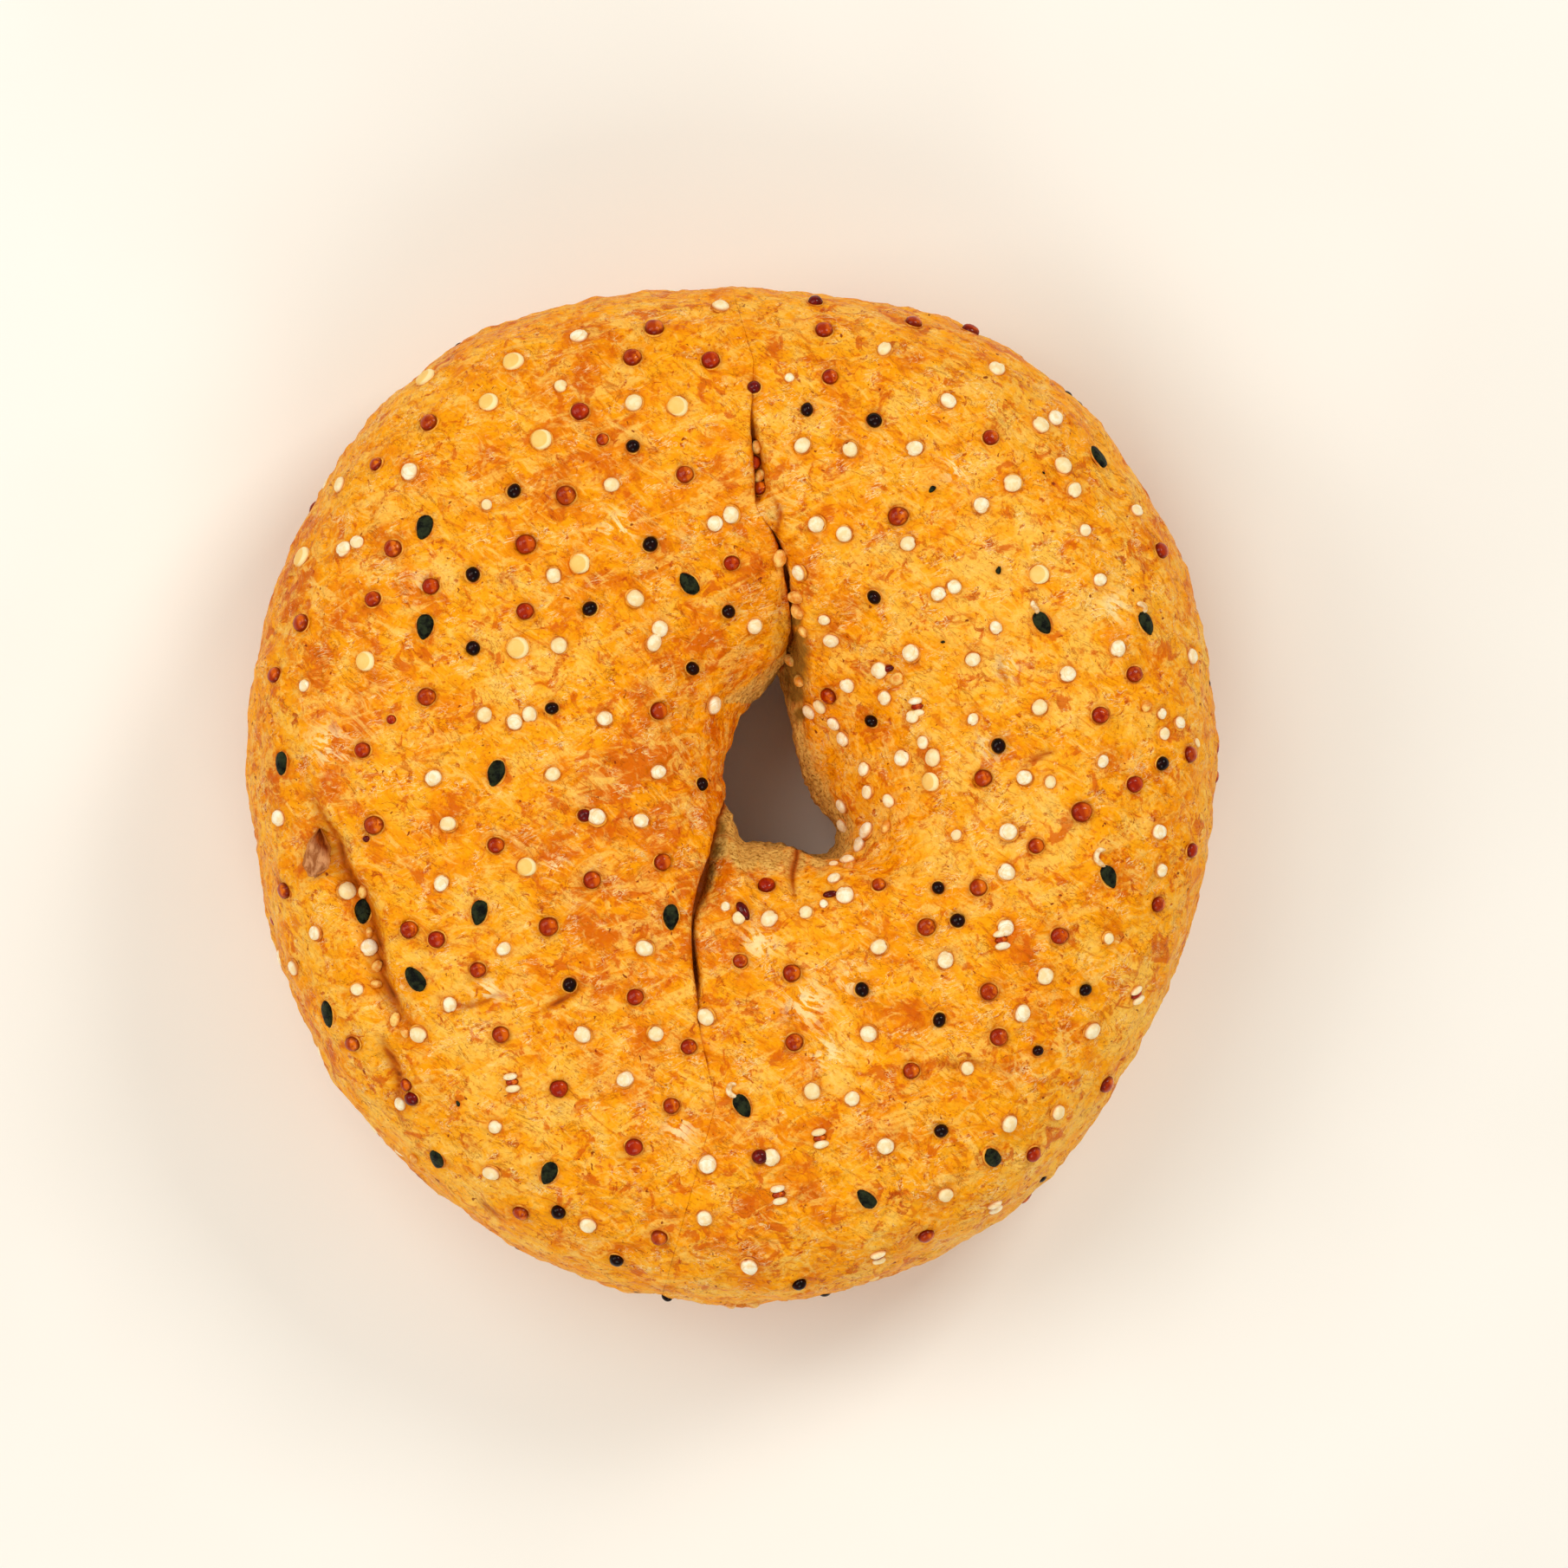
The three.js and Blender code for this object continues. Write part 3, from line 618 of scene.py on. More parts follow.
grains = {
    "white": lay("white", from_frame("white_quinoa") + MORE_WHITE) + sides["white"],
    "golden": lay("golden", from_frame("golden_quinoa") + MORE_GOLDEN, GOLDEN_TURN) + sides["golden"],
    "amber": lay("amber", AMBER),
    "red": lay("red", from_frame("red_quinoa") + MORE_RED, RED_TURN) + sides["red"],
    "black": lay("black", from_frame("black_quinoa") + MORE_BLACK) + sides["black"],
    "maroon": lay("maroon", MAROON, MAROON_TURN) + lay("long", LONG_MAROON, LONG_MAROON_TURNS),
    "split": lay("split", SPLIT, SPLIT_TURN),
    "chip": lay("chip", CHIPS),
    "sesame": lay("sesame", from_frame("black_sesame"), SESAME_TURNS),
    "sprout": lay("sesame", from_frame("sprouted_sesame"), SPROUT_TURNS),
}

# ---------------------------------------------------------------- the toppings' shapes

SPHERE_RINGS, SPHERE_SEGMENTS = 9, 18
STAND = 0.1  # how far a grain's middle is above the crust, as a share of its thickness
NOTCH_WIDTH = 0.3  # in radians round the grain
LUMPINESS = 1.3  # how fine the unevenness is
SPLIT_GAP = 0.72  # how far each half of a split grain is from its middle
SPLIT_SCALES = (0.9, 1)
SLIVER_SINK, SLIVER_SCALE = 0.2, 0.85  # of the red sliver between the halves
COLLAR_STEPS, COLLAR_SIDES = 20, 6
COLLAR_RADIUS = 0.17
COLLAR_GAP = 0.02
COLLAR_SINK = 0.05
COLLAR_FLATNESS = 0.7
GERM_RADIUS = 0.33
GERM_POINTS = 14
GERM_LIFT, GERM_RISE = 0.25, 0.12  # how high a germ starts, and how much higher it ends
GERM_ROUTES = [  # one for each sprouted seed, from its round end, in its own flat frame
    [(-1.1, 0.1), (-1.6, 0.35), (-2.2, 0.3), (-2.7, 0.6)],
    [(-1.1, 0.2), (-1.7, 0.5), (-2.2, 0.2), (-2.5, -0.4)],
    [(-1.2, 0.1), (-1.9, -0.35), (-2.75, -0.5), (-3.3, 0.2), (-2.9, 1.0)],
    [(-1.1, 0.0), (-1.7, -0.5), (-2.3, -0.45), (-2.7, 0.1), (-2.4, 0.7)],
]
FLAKE_TOP, FLAKE_BOTTOM = np.array([-47.3, -3.4]), np.array([-47.9, -8.9])
FLAKE_ROWS, FLAKE_COLUMNS = 26, 16
FLAKE_THICKNESS = 0.14
# Half widths of the flake down its length, from its point to its torn end.
FLAKE_LEFT = [0.15, 0.6, 1.0, 1.25, 1.3, 1.5, 1.6, 1.2, 0.7]
FLAKE_RIGHT = [0.15, 0.5, 1.0, 1.45, 1.6, 1.5, 1.6, 1.45, 0.3]


def unit_sphere():
    """Points and faces of a unit sphere with its poles on Z."""
    heights = np.pi * (np.arange(1, SPHERE_RINGS) / SPHERE_RINGS - 0.5)
    turns = 2 * np.pi * np.arange(SPHERE_SEGMENTS) / SPHERE_SEGMENTS
    round_z = np.column_stack([np.cos(turns), np.sin(turns)])
    rings = [np.column_stack([np.cos(h) * round_z, np.full(len(turns), np.sin(h))]) for h in heights]
    points = np.vstack([[(0, 0, -1)], *rings, [(0, 0, 1)]])
    last = len(points) - 1
    pairs = [(j, (j + 1) % SPHERE_SEGMENTS) for j in range(SPHERE_SEGMENTS)]
    bands = (grid_faces(SPHERE_RINGS - 1, SPHERE_SEGMENTS, row_loop=False) + 1).tolist()
    above = last - SPHERE_SEGMENTS
    bottom = [(0, 1 + k, 1 + j) for j, k in pairs]
    top = [(above + j, above + k, last) for j, k in pairs]
    return points, bottom + bands + top


SPHERE_POINTS, SPHERE_FACES = unit_sphere()


def grain_points(grain):
    """(points in the row frame, points in the grain's own unit frame)."""
    squareness, point_share, notch, uneven = KINDS[grain.kind][3:]
    unit = SPHERE_POINTS.copy()
    flat = np.hypot(unit[:, 0], unit[:, 1])
    edge = (flat**squareness + np.abs(unit[:, 2]) ** squareness) ** (1 / squareness)
    unit /= edge[:, None]
    turn = np.arctan2(unit[:, 1], unit[:, 0])
    flat = np.hypot(unit[:, 0], unit[:, 1])
    bite = notch * rng.uniform(0, 1) * np.exp(-((turn / NOTCH_WIDTH) ** 2)) * flat
    shaped = unit * (1 - bite)[:, None]
    shaped[:, 1] *= 1 - point_share * shaped[:, 0]
    shaped[:, 0] += 0.5 * point_share * np.maximum(shaped[:, 0], 0) ** 3
    offset = rng.uniform(-50, 50, 3)
    shaped *= 1 + uneven * np.array([noise.noise(Vector(p * LUMPINESS + offset)) for p in unit])[:, None]
    placed = shaped * grain.size / 2
    placed[:, 2] += STAND * grain.size[2]
    return placed @ np.array(grain.axes).T + np.array(grain.point), unit


def store(thing, name, values, kind="FLOAT"):
    """Keeps a value for each vertex, which the material reads."""
    layer = thing.data.attributes.new(name, kind, "POINT")
    layer.data.foreach_set("vector" if kind == "FLOAT_VECTOR" else "value", np.asarray(values, float).ravel())


def joined_grains(name, group):
    """All the grains of a kind as one object."""
    points, faces, local, tones = [], [], [], []
    for grain in group:
        placed, unit = grain_points(grain)
        start = sum(map(len, points))
        faces += [tuple(start + i for i in face) for face in SPHERE_FACES]
        points.append(placed)
        local.append(unit)
        tones.append(np.full(len(unit), rng.uniform(0, 1)))
    thing = make_object(name, np.vstack(points), faces)
    store(thing, "local", np.vstack(local), "FLOAT_VECTOR")
    store(thing, "tone", np.concatenate(tones))
    return thing


def halves(group):
    """Each split grain as two pale halves on edge with a red sliver between them."""
    turn = math.radians(SPLIT_TURN)
    pale, red = [], []
    for grain in group:
        for side in (-SPLIT_GAP, SPLIT_GAP):
            place = grain.point + grain.axes.col[1] * side
            pale.append(Grain("split", place, grain.normal, turn, rng.uniform(*SPLIT_SCALES)))
        place = grain.point - grain.normal * SLIVER_SINK
        red.append(Grain("split", place, grain.normal, turn, SLIVER_SCALE))
    return pale, red


def round_object(name, shapes):
    """One object from several (points, faces), with its faces turned outwards."""
    points, faces = [], []
    for more, around in shapes:
        faces += [tuple(len(points) + i for i in face) for face in around]
        points += more
    thing = make_object(name, np.array(points), faces)
    recalculate_normals(thing)
    return thing


def collar(grain):
    """Points and faces of the rolled edge of crust that holds a grain."""
    points = []
    for i in range(COLLAR_STEPS):
        turn = 2 * math.pi * i / COLLAR_STEPS
        thick = COLLAR_RADIUS * (1 + 0.5 * noise.noise(Vector((turn * 1.3, *grain.point.xy))))
        for j in range(COLLAR_SIDES):
            angle = 2 * math.pi * j / COLLAR_SIDES
            out = COLLAR_GAP + thick * math.cos(angle)
            local = Vector((
                (grain.size[0] / 2 + out) * math.cos(turn),
                (grain.size[1] / 2 + out) * math.sin(turn),
                COLLAR_FLATNESS * thick * math.sin(angle) - COLLAR_SINK,
            ))
            points.append(grain.point + grain.axes @ local)
    return points, grid_faces(COLLAR_STEPS, COLLAR_SIDES)


def tube(route, radius, sides=8):
    """Points and faces of a tube along a route, rounded off at both ends."""
    points = []
    last = len(route) - 1
    for i, place in enumerate(route):
        ahead = (route[min(i + 1, last)] - route[max(i - 1, 0)]).normalized()
        side = ahead.cross(UP).normalized()
        lift = side.cross(ahead)
        share = 2 * i / last - 1
        girth = radius * math.sqrt(max(1e-4, 1 - abs(share) ** 3))
        for j in range(sides):
            angle = 2 * math.pi * j / sides
            points.append(place + girth * (side * math.cos(angle) + lift * math.sin(angle)))
    faces = grid_faces(last + 1, sides, row_loop=False).tolist()
    return points, faces + [range(sides), range(last * sides, (last + 1) * sides)]


def germ_curl(grain, route):
    """Points and faces of a sprouted seed's pale, curled germ."""
    rise = GERM_RISE / (GERM_POINTS - 1)
    lifted = [
        grain.point + grain.axes @ Vector((x, y, GERM_LIFT + rise * i))
        for i, (x, y) in enumerate(on_curve(route, GERM_POINTS))
    ]
    return tube(lifted, GERM_RADIUS)


def onion():
    """A torn flake of onion skin, cupped, with its lower end curling up off the crust."""
    points, local = [], []
    knots = range(len(FLAKE_LEFT))
    for i in range(FLAKE_ROWS):
        v = i / (FLAKE_ROWS - 1)
        left, right = (np.interp(v * knots[-1], knots, widths) for widths in (FLAKE_LEFT, FLAKE_RIGHT))
        tear = 0.28 * noise.noise(Vector((5 * v, 3, 0)))
        middle = FLAKE_TOP + (FLAKE_BOTTOM - FLAKE_TOP) * v
        for j in range(FLAKE_COLUMNS):
            u = 2 * j / (FLAKE_COLUMNS - 1) - 1
            x = middle[0] + (right if u > 0 else left) * u + tear
            y = middle[1] + 0.5 * v * noise.noise(Vector((2.6 * u, 1, 8)))
            hit, _ = on_crust(x, y)
            lift = 0.15 + 0.5 * u**2 + 0.9 * v**3 + 0.2 * noise.noise(Vector((2 * u, 4 * v, 9)))
            points.append((x, y, hit.z + lift))
            local.append((u, 1 - 2 * v, 0))
    faces = grid_faces(FLAKE_ROWS, FLAKE_COLUMNS, row_loop=False, column_loop=False)
    thing = make_object("onion_skin", points, faces)
    store(thing, "local", local, "FLOAT_VECTOR")
    solid = thing.modifiers.new("thickness", "SOLIDIFY")
    solid.thickness = FLAKE_THICKNESS * MM
    solid.offset = 0
    return thing


PIECES = {  # the name of each kind's piece
    "white": "white_grains",
    "golden": "golden_grains",
    "amber": "amber_grains",
    "red": "red_grains",
    "black": "black_grains",
    "maroon": "maroon_grains",
    "chip": "dark_chips",
    "sesame": "sesame_seeds",
    "sprout": "sprouted_seeds",
}
COLLARED = ("white", "golden", "red", "black", "maroon", "sesame", "sprout")
pale_halves, red_slivers = halves(grains["split"])
added = {"white": pale_halves, "red": red_slivers}
pieces = {kind: joined_grains(name, grains[kind] + added.get(kind, [])) for kind, name in PIECES.items()}
germ_curls = round_object("sesame_germs", map(germ_curl, grains["sprout"], GERM_ROUTES))
flake = onion()
seed_collars = round_object("seed_collars", [collar(grain) for kind in COLLARED for grain in grains[kind]])

DENT_DEPTH = 0.25
RIDGE_HEIGHT, RIDGE_WIDTH = 0.12, 0.5  # of the crust's swelling round a grain, as far out as it is wide
# how far the painted contact shade round a grain reaches past its edge
CONTACT_SHADE_WIDTH = 0.55
DENT_REACH = 1.8  # past a grain's edge


def dent_crust(group):
    """Sinks the crust under each grain and swells it a little round the grain's edge. Returns how strongly
    painted contact shade darkens the crust round each grain.
    """
    points = points_of(bread)
    normals = points_of(bread, "normals")
    near = KDTree(len(points))
    for i, p in enumerate(points):
        near.insert(p, i)
    near.balance()
    shift = np.zeros(len(points))
    contact_shade = np.zeros(len(points))
    for grain in group:
        radius = float(grain.size[:2].mean()) / 2
        for _, i, distance in near.find_range(grain.point, radius + DENT_REACH):
            swell = RIDGE_HEIGHT * math.exp(-(((distance - radius - RIDGE_WIDTH) / RIDGE_WIDTH) ** 2))
            shift[i] += swell - DENT_DEPTH * math.exp(-((distance / radius) ** 2))
            contact_shade[i] = max(contact_shade[i], math.exp(-((max(0, distance - radius) / CONTACT_SHADE_WIDTH) ** 2)))
    set_points(bread, points + normals * shift[:, None])
    return contact_shade


# Where the crust is baked darker, or with a minus sign paler: (x, y, radius, amount).
BAKED = [
    (-12, 0, 16, 0.5), (30, 8, 22, -0.4), (-42, -40, 14, -0.3), (-30, 30, 18, 0.25), (36, 40, 14, -0.3),
    (-4, -8, 10, 1.0), (-7, 13, 7, 0.9), (-15, -14, 8, 0.8), (-14, 5, 7, 0.6), (4, 27, 5, 0.7),
    (-13, 33, 7, 0.5), (-46, 21, 8, 0.6), (-49, 2, 7, 0.5), (25, -15, 6, 0.7), (-42, -8, 5, 0.7),
    (36, -26, 6, 0.5), (8, -33, 5, 0.5), (-16, -21, 3, 1.2), (-28, 34, 7, 0.4), (-3, 41, 5, 0.3),
    (4, -46, 6, 0.4), (16, 27, 4, 0.4), (42, 28, 5, 0.4), (-19, 13, 8, -0.8), (-24, 4, 7, -0.7),
    (5, -15, 5, -1.0), (31, 18, 11, -0.6), (-34, -13, 8, -0.6), (-33, -27, 8, -0.6), (-25, -44, 8, -0.5),
    (14, -32, 5, -0.4), (24, 42, 7, -0.4), (-36, 45, 6, -0.5), (42, -38, 9, -0.6), (48, -24, 6, -0.5),
    (12, 5, 5, -0.5), (20, -6, 7, -0.4), (-31, 12, 6, -0.3), (38, -44, 6, -0.8), (28, -50, 5, -0.8),
    (47, -29, 4, -0.6), (-50, -12, 4, -0.5), (7, -56, 5, -0.5),
]

# Where unbaked dough shows beside the hole and down the seams: (x, y, radius, amount).
DOUGHY = [
    (-0.6, -2.8, 1.7, 0.55), (-1.4, -5.6, 1.6, 0.5), (-2.4, -8.4, 1.2, 0.4), (1.6, -5.8, 2.3, 0.55),
    (4.4, -6.2, 2.1, 0.5), (7.2, -6.8, 1.9, 0.48), (10.0, -7.2, 1.6, 0.42), (12.2, -5.4, 1.3, 0.4),
    (11.2, -1.6, 1.2, 0.4), (9.6, 2.4, 1.2, 0.4), (8.6, 6.6, 1.0, 0.35), (4.6, 32.8, 1.2, 0.35),
    (4.6, 12.6, 1.0, 0.5), (3.5, 11.5, 1.0, 0.4),
]

# Where the crust has pale flakes, with painted sheen laid on as pale streaks: (x, y, radius).
PALE_FLAKES_AND_SHEEN = [
    (3, -16.5, 1.8), (8.5, -23.5, 2.4), (-46, 6, 2.2), (11, -29, 1.8), (-13, 31, 1.8), (30, 6, 1.8),
    (-35, 24, 1.6), (14, -21, 1.6), (31.5, 15, 1.3), (-20, -8, 1.4), (26, 38, 1.6), (-6, -38, 1.6),
    (44, 22, 1.5), (-28, -22, 1.6),
]

# Painted shadow deep in the seams, where the dough lies in shade: (x, y, radius).
SEAM_SHADOW_SPOTS = [
    (7.4, 20.4, 0.7), (7.7, 18.6, 1.0), (7.7, 17.0, 1.3), (7.4, 15.4, 1.5), (7.2, 13.8, 1.5),
    (7.4, 12.0, 1.2), (7.9, 9.8, 0.9), (-1.6, -3.4, 0.9), (-2.2, -5.8, 0.9), (-2.8, -8.0, 1.0),
    (-3.4, -9.8, 1.1), (-3.9, -11.6, 0.8),
]

BARE_DOUGH_TOP = 11.0  # on the left lobe bare dough shows only past this
HOLE_WALL_SHARE = 0.07  # how far out from the hole the dough is pale
HOLE_WALL_PALENESS = 0.5

contact_shade = dent_crust([grain for group in grains.values() for grain in group])
crust_points = points_of(bread)


def spot(x, y, radius):
    """1 at a place on the crust seen from above, falling off round it."""
    distance = np.hypot(crust_points[:, 0] - x, crust_points[:, 1] - y)
    return np.exp(-((distance / radius) ** 2))


bake = np.zeros(len(crust_points))
for *place, amount in BAKED:
    bake += amount * spot(*place)
shown = ~crust.left_lobe.ravel() | (crust_points[:, 1] > BARE_DOUGH_TOP)
hole_wall = HOLE_WALL_PALENESS * np.clip(1 - crust.share.ravel() / HOLE_WALL_SHARE, 0, 1)
for *place, amount in DOUGHY:
    hole_wall = np.maximum(hole_wall, amount * spot(*place))
painted = {
    "contact_shade": contact_shade,
    "bake": bake,
    # painted shade with burnt colour in the seams and creases
    "seam": crust.shade,
    "wall": hole_wall * shown,
    "flakes_and_sheen": np.max([spot(*place) for place in PALE_FLAKES_AND_SHEEN], axis=0),
    "seam_shadow": np.max([spot(*place) for place in SEAM_SHADOW_SPOTS], axis=0) * shown,
}
for name, values in painted.items():
    store(bread, name, values)

# ---------------------------------------------------------------- materials


def rgb(red, green, blue):
    """A colour from 0 to 255 sRGB, as shaders take it."""

    def linear(value):
        share = value / 255
        return share / 12.92 if share <= 0.04045 else ((share + 0.055) / 1.055) ** 2.4

    return (linear(red), linear(green), linear(blue), 1)


LINE_WIDTH = 0.02  # how far from a pattern's middle its lines end


class Material:
    """A node material with one Principled surface."""

    def __init__(self, name):
        self.data = bpy.data.materials.new(name)
        self.data.use_nodes = True
        self.tree = self.data.node_tree
        self.tree.nodes.clear()
        self.surface = self.add("ShaderNodeBsdfPrincipled")
        output = self.add("ShaderNodeOutputMaterial")
        self.tree.links.new(self.surface.outputs["BSDF"], output.inputs["Surface"])

    def add(self, kind, **settings):
        node = self.tree.nodes.new(kind)
        for key, value in settings.items():
            setattr(node, key, value)
        return node

    def feed(self, socket, value):
        if isinstance(value, bpy.types.NodeSocket):
            self.tree.links.new(value, socket)
        else:
            socket.default_value = value

    def millimetres(self, stretch=(1, 1, 1), turn=0):
        """The object's own coordinates in millimetres, turned by some degrees and then stretched."""
        coordinates = self.add("ShaderNodeTexCoord").outputs["Object"]
        turned = self.add("ShaderNodeMapping")
        self.feed(turned.inputs["Vector"], coordinates)
        turned.inputs["Rotation"].default_value = (0, 0, math.radians(turn))
        mapping = self.add("ShaderNodeMapping")
        self.feed(mapping.inputs["Vector"], turned.outputs["Vector"])
        mapping.inputs["Scale"].default_value = tuple(s / MM for s in stretch)
        return mapping.outputs["Vector"]

    def attribute(self, name, output="Fac"):
        return self.add("ShaderNodeAttribute", attribute_name=name).outputs[output]

    def noise(self, where, scale, detail=3, roughness=0.55, distortion=0):
        node = self.add("ShaderNodeTexNoise")
        self.feed(node.inputs["Vector"], where)
        values = {"Scale": scale, "Detail": detail, "Roughness": roughness, "Distortion": distortion}
        for key, value in values.items():
            node.inputs[key].default_value = value
        return node.outputs["Fac"]

    def ramp(self, value, *stops):
        """A number or a colour that follows value through (position, result) stops."""
        node = self.add("ShaderNodeValToRGB")
        self.feed(node.inputs["Fac"], value)
        elements = node.color_ramp.elements
        while len(elements) < len(stops):
            elements.new(1)
        for element, (position, result) in zip(elements, stops):
            element.position = position
            element.color = result if isinstance(result, tuple) else (result, result, result, 1)
        return node.outputs["Color"]

    def mix(self, share, first, second):
        node = self.add("ShaderNodeMix", data_type="RGBA")
        self.feed(node.inputs["Factor"], share)
        self.feed(node.inputs[6], first)
        self.feed(node.inputs[7], second)
        return node.outputs[2]

    def tint(self, colour, pattern, low, high, laid_on):
        """Lays a colour on as strongly as two (value, strength) stops say for the pattern."""
        return self.mix(self.ramp(pattern, low, high), colour, laid_on)

    def math(self, operation, first, second=0.0):
        node = self.add("ShaderNodeMath", operation=operation)
        self.feed(node.inputs[0], first)
        self.feed(node.inputs[1], second)
        return node.outputs[0]

    def lines(self, pattern, where, scale, low, high):
        """Thin curving lines where a pattern crosses its middle, broken into short pieces."""
        off_middle = self.math("ABSOLUTE", self.math("SUBTRACT", pattern, 0.5))
        line = self.ramp(off_middle, (0.0, 1.0), (LINE_WIDTH, 0.0))
        pieces = self.ramp(self.noise(where, scale, 3, 0.6), (low, 0.0), (high, 1.0))
        return self.math("MULTIPLY", line, pieces)

    def grain_frame(self):
        """x, y and z in a grain's own unit frame."""
        node = self.add("ShaderNodeSeparateXYZ")
        self.feed(node.inputs[0], self.attribute("local", "Vector"))
        return node.outputs[:3]

    def distance(self, x, y, shift=0.0):
        """How far (x, y) is from (-shift, 0)."""
        squares = [self.math("POWER", value, 2.0) for value in (self.math("ADD", x, shift), y)]
        return self.math("SQRT", self.math("ADD", *squares))

    def finish(self, colour, roughness, gloss, height, relief):
        """Sets the surface, with height as bumps of that relief in millimetres."""
        self.feed(self.surface.inputs["Base Color"], colour)
        self.feed(self.surface.inputs["Roughness"], roughness)
        self.surface.inputs["Specular IOR Level"].default_value = gloss
        bump = self.add("ShaderNodeBump")
        self.feed(bump.inputs["Height"], height)
        bump.inputs["Distance"].default_value = relief * MM
        bump.inputs["Strength"].default_value = 1.0
        self.feed(self.surface.inputs["Normal"], bump.outputs["Normal"])
        return self.data


def crust_material():
    m = Material("crust")
    where = m.millimetres()
    down_right = m.millimetres((0.55, 1.3, 1.0), 35)
    up_right = m.millimetres((0.5, 1.4, 1.0), -20)
    patches = m.noise(where, 0.15, 8, 0.62, 0.4)
    tangle = m.noise(down_right, 0.45, 7, 0.68, 1.6)
    grit = m.noise(where, 2.2, 4, 0.7, 0.4)
    colour = m.ramp(
        m.math("SUBTRACT", patches, m.math("MULTIPLY", m.attribute("bake"), 0.15)),
        (0.34, rgb(218, 104, 0)), (0.42, rgb(240, 138, 0)), (0.49, rgb(250, 158, 4)),
        (0.56, rgb(253, 172, 24)), (0.65, rgb(254, 192, 72)),
    )
    streaks = m.lines(m.noise(up_right, 0.7, 5, 0.62, 1.2), where, 0.35, 0.53, 0.61)
    flakes_and_sheen_mask = m.math("MULTIPLY", m.attribute("flakes_and_sheen"), m.ramp(tangle, (0.5, 0.0), (0.54, 1.0)))
    dough = m.ramp(grit, (0.34, rgb(116, 68, 16)), (0.43, rgb(202, 148, 62)), (0.54, rgb(240, 194, 102)))
    wrinkles = m.lines(m.noise(down_right, 0.4, 6, 0.64, 1.4), where, 0.3, 0.47, 0.56)
    seam_shadow_mix = m.math("ADD", m.attribute("seam_shadow"), m.math("MULTIPLY", patches, 0.3))
    layers = [  # a pattern, how strongly two of its values show, and the colour laid on there
        (m.noise(where, 0.27, 6, 0.6, 0.4), (0.5, 0.0), (0.58, 0.8), rgb(255, 164, 0)),
        (m.noise(up_right, 0.34, 8, 0.7, 1.0), (0.51, 0.0), (0.6, 0.8), rgb(252, 192, 80)),
        (tangle, (0.53, 0.0), (0.63, 0.6), rgb(255, 206, 104)),
        (tangle, (0.37, 0.7), (0.45, 0.0), rgb(216, 108, 0)),
        (m.noise(where, 0.33, 9, 0.7, 0.6), (0.39, 0.85), (0.45, 0.0), rgb(214, 96, 0)),
        (grit, (0.32, 0.6), (0.46, 0.0), rgb(214, 112, 4)),
        (m.noise(where, 0.7, 6, 0.72, 0.6), (0.585, 0.0), (0.65, 0.85), rgb(184, 66, 0)),
        (wrinkles, (0, 0.0), (1, 0.75), rgb(158, 70, 0)),
        # pale streaks, with the pale flakes and painted sheen
        (m.math("MAXIMUM", streaks, flakes_and_sheen_mask), (0, 0.0), (1, 0.85), rgb(255, 232, 170)),
        (m.noise(where, 1.1, 2, 0.5, 0.4), (0.71, 0.0), (0.75, 0.9), rgb(130, 40, 4)),
        # painted contact shade round each grain
        (m.attribute("contact_shade"), (0, 0.0), (1, 0.4), rgb(214, 112, 6)),
        (m.math("ADD", m.attribute("wall"), patches), (0.64, 0.0), (0.8, 1.0), dough),
        # painted shadow in the seams' depths, olive brown
        (seam_shadow_mix, (0.3, 0.0), (0.85, 0.95), rgb(146, 104, 36)),
        # the seams' and creases' burnt colour with painted shade, darkest in the deep slits
        (m.attribute("seam"), (0.03, 0.0), (0.45, 0.9), rgb(178, 78, 2)),
        (m.attribute("seam"), (0.45, 0.0), (0.95, 0.95), rgb(84, 22, 2)),
    ]
    for layer in layers:
        colour = m.tint(colour, *layer)
    dimples = m.math("MULTIPLY", m.noise(where, 0.9, 1, 0.5, 0.6), 0.6)
    ridges = m.math("MULTIPLY", m.noise(down_right, 0.6, 1.5, 0.5, 1.6), 0.5)
    roughness = m.ramp(tangle, (0.4, 0.35), (0.58, 0.6))
    return m.finish(colour, roughness, 0.07, m.math("ADD", dimples, ridges), 0.6)


def pale_material():
    m = Material("white_quinoa")
    where = m.millimetres()
    tone = m.attribute("tone")
    x, y, z = m.grain_frame()
    colour = m.ramp(tone, (0.0, rgb(252, 230, 178)), (0.4, rgb(255, 242, 206)), (1.0, rgb(255, 249, 224)))
    crescent = m.ramp(m.distance(x, y, 0.45), (0.92, 0.0), (0.98, 0.7), (1.04, 0.0))
    crescent = m.math("MULTIPLY", crescent, m.ramp(tone, (0.4, 0.0), (0.6, 1.0)))
    colour = m.tint(colour, m.noise(where, 1.5, 4), (0.42, 0.6), (0.6, 0.0), rgb(243, 204, 130))
    colour = m.mix(crescent, colour, rgb(226, 160, 72))
    # Painted shade: browner and darker towards the grain's underside, where it sits in the crust.
    colour = m.tint(colour, z, (0.0, 0.9), (0.5, 0.0), rgb(214, 132, 44))
    return m.finish(colour, 0.5, 0.3, m.noise(where, 3.0), 0.06)


def golden_material():
    m = Material("golden_quinoa")
    where = m.millimetres()
    x, y, _ = m.grain_frame()
    middle = m.mix(m.noise(where, 1.5), rgb(246, 190, 84), rgb(252, 214, 130))
    # Painted light: a paler crescent on each grain's +X side, since all golden grains face the same way.
    colour = m.tint(middle, m.distance(x, y, 0.28), (0.8, 0.0), (0.93, 1.0), rgb(253, 232, 170))
    return m.finish(colour, 0.45, 0.3, m.noise(where, 2.5, 2), 0.05)


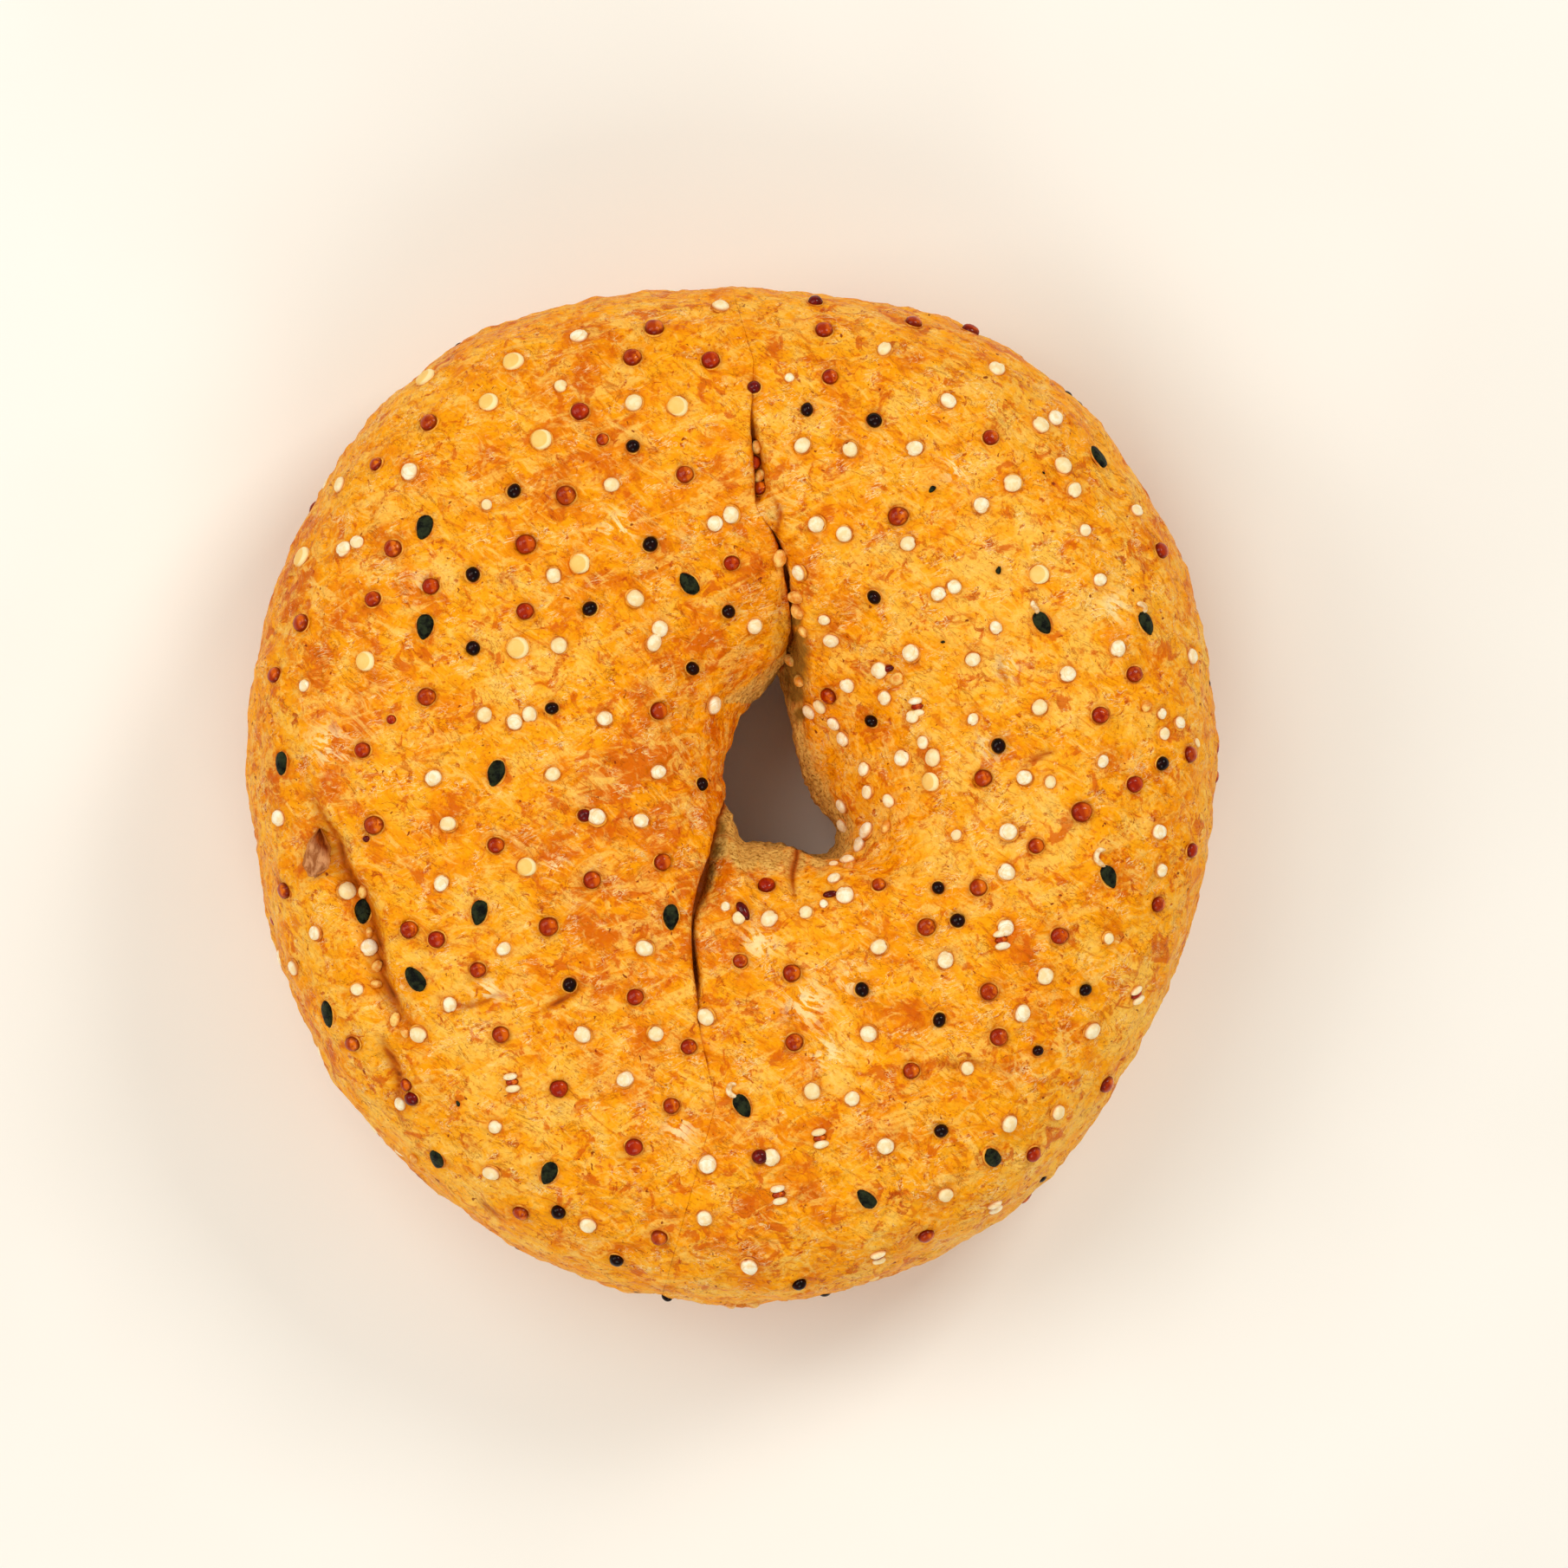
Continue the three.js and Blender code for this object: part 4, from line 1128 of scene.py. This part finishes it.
def red_material():
    m = Material("red_quinoa")
    where = m.millimetres()
    x, y, _ = m.grain_frame()
    tones = (0.0, rgb(186, 52, 0)), (0.4, rgb(212, 88, 0)), (1.0, rgb(226, 112, 6))
    colour = m.ramp(m.attribute("tone"), *tones)
    # Painted shade: each grain is darker on its -X side, since all red grains turn the same way.
    colour = m.tint(colour, x, (0.0, 0.75), (0.3, 0.0), rgb(150, 18, 0))
    colour = m.tint(colour, m.noise(where, 1.2, 4, 0.6, 0.6), (0.38, 0.8), (0.52, 0.0), rgb(140, 16, 0))
    colour = m.tint(colour, m.distance(x, y), (0.76, 0.0), (0.96, 0.85), rgb(100, 10, 0))
    return m.finish(colour, 0.14, 0.18, m.noise(where, 1.6, 2), 0.03)


def onion_material():
    m = Material("onion")
    x, y, _ = m.grain_frame()
    veins = m.noise(m.millimetres((1, 0.35, 1)), 1.8, 5, 0.65, 0.4)
    upper = m.tint(rgb(100, 30, 0), veins, (0.4, 0.0), (0.6, 1.0), rgb(152, 66, 12))
    lower = m.tint(rgb(156, 92, 48), veins, (0.42, 0.0), (0.6, 1.0), rgb(212, 148, 98))
    # Darker towards the top and right: partly the skin's own browner colour, partly painted shade on its right
    # side under the fold's lip.
    height = m.math("ADD", y, m.math("MULTIPLY", x, 0.5))
    colour = m.tint(lower, height, (0.0, 0.0), (0.45, 1.0), upper)
    colour = m.tint(colour, m.math("ABSOLUTE", x), (0.7, 0.0), (1.0, 0.6), rgb(196, 116, 46))
    return m.finish(colour, 0.3, 0.04, veins, 0.24)


def two_tone(name, first, second, scale, roughness, gloss, relief):
    """A material that wanders between two colours."""
    m = Material(name)
    where = m.millimetres()
    colour = m.tint(first, m.noise(where, scale), (0.4, 0.0), (0.6, 1.0), second)
    return m.finish(colour, roughness, gloss, m.noise(where, 2.4), relief)


amber = two_tone("amber", rgb(228, 138, 24), rgb(254, 208, 112), 1.1, 0.4, 0.5, 0.09)
black = two_tone("black_quinoa", rgb(14, 1, 1), rgb(36, 3, 3), 1.3, 0.1, 0.14, 0.007)
maroon = two_tone("maroon_quinoa", rgb(78, 5, 5), rgb(116, 12, 8), 1.3, 0.1, 0.22, 0.007)
dark_sesame = two_tone("black_sesame", rgb(3, 6, 2), rgb(38, 46, 24), 1.3, 0.5, 0.1, 0.28)
germ = two_tone("germ", rgb(226, 170, 96), rgb(252, 232, 190), 1.2, 0.45, 0.5, 0.05)
crust_edge = two_tone("collar", rgb(200, 104, 8), rgb(246, 172, 58), 0.8, 0.45, 0.2, 0.06)
coats = [  # a piece, its material and its slot
    (bread, crust_material(), "crust"),
    (seed_collars, crust_edge, "crust"),
    (pieces["white"], pale_material(), "white_quinoa"),
    (pieces["golden"], golden_material(), "golden_quinoa"),
    (pieces["amber"], amber, "golden_quinoa"),
    (pieces["red"], red_material(), "red_quinoa"),
    (pieces["black"], black, "black_quinoa"),
    (pieces["maroon"], maroon, "black_quinoa"),
    (pieces["chip"], dark_sesame, "black_sesame"),
    (pieces["sesame"], dark_sesame, "black_sesame"),
    (pieces["sprout"], dark_sesame, "sprouted_sesame"),
    (germ_curls, germ, "sprouted_sesame"),
    (flake, onion_material(), "onion_flake"),
]
for thing, material, slot in coats:
    thing.data.materials.append(material)
    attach(thing, "root")

replaced = {  # how the names of CAD nodes begin, and the piece that stands for them
    "bread": bread,
    "white_quinoa": pieces["white"],
    "golden_quinoa": pieces["golden"],
    "red_quinoa": pieces["red"],
    "black_quinoa": pieces["black"],
    "black_sesame": pieces["sesame"],
    "sprouted_sesame": pieces["sprout"],
    "onion_flake": flake,
}
for prefix, thing in replaced.items():
    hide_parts(*[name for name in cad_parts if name.startswith(prefix)])

# ---------------------------------------------------------------- floor, light and camera

FLOOR_SIZE = 4.0
SKY_COLOUR, SKY_STRENGTH = (1.0, 0.965, 0.88, 1), 0.43
LIGHT_COLOUR = (1.0, 0.97, 0.9)
LIGHTS = {  # each one's place and size in metres, and its watts
    "key": ((0.5, 0.5, 0.7), 0.3, 3.1),
    "left": ((-0.72, 0.1, 0.7), 0.5, 2.55),
    "front": ((0.05, -0.72, 0.7), 0.5, 2.55),
    "back": ((-0.3, 0.34, 0.85), 0.4, 1.5),
}
CAMERA_AIM = Vector((6.0, 1.7, 20.0)) * MM
CAMERA_REACH = 20.0
LENS, SENSOR_WIDTH = 500, 36
FRAME_WIDTH = 181.0 * MM

scene = bpy.context.scene
bpy.ops.mesh.primitive_plane_add(size=FLOOR_SIZE)
floor = bpy.context.object
floor.name = "floor"
floor_paint = two_tone("floor", rgb(242, 239, 234), rgb(247, 245, 241), 0.008, 0.9, 0.1, 0.0)
floor.data.materials.append(floor_paint)

scene.world = bpy.data.worlds.new("sky")
scene.world.use_nodes = True
background = scene.world.node_tree.nodes["Background"]
background.inputs["Color"].default_value = SKY_COLOUR
background.inputs["Strength"].default_value = SKY_STRENGTH

for name, (place, size, watts) in LIGHTS.items():
    data = bpy.data.lights.new(name, "AREA")
    data.size = size
    data.energy = watts
    data.color = LIGHT_COLOUR
    light = bpy.data.objects.new(name, data)
    light.location = place
    light.rotation_euler = (-Vector(place)).to_track_quat("-Z", "Y").to_euler()
    scene.collection.objects.link(light)

camera_data = bpy.data.cameras.new("camera")
camera_data.lens = LENS
camera_data.sensor_width = SENSOR_WIDTH
camera_data.clip_end = CAMERA_REACH
camera = bpy.data.objects.new("camera", camera_data)
camera.location = CAMERA_AIM + UP * FRAME_WIDTH * LENS / SENSOR_WIDTH
scene.collection.objects.link(camera)
scene.camera = camera
scene.view_settings.view_transform = "Standard"

bpy.context.view_layer.update()
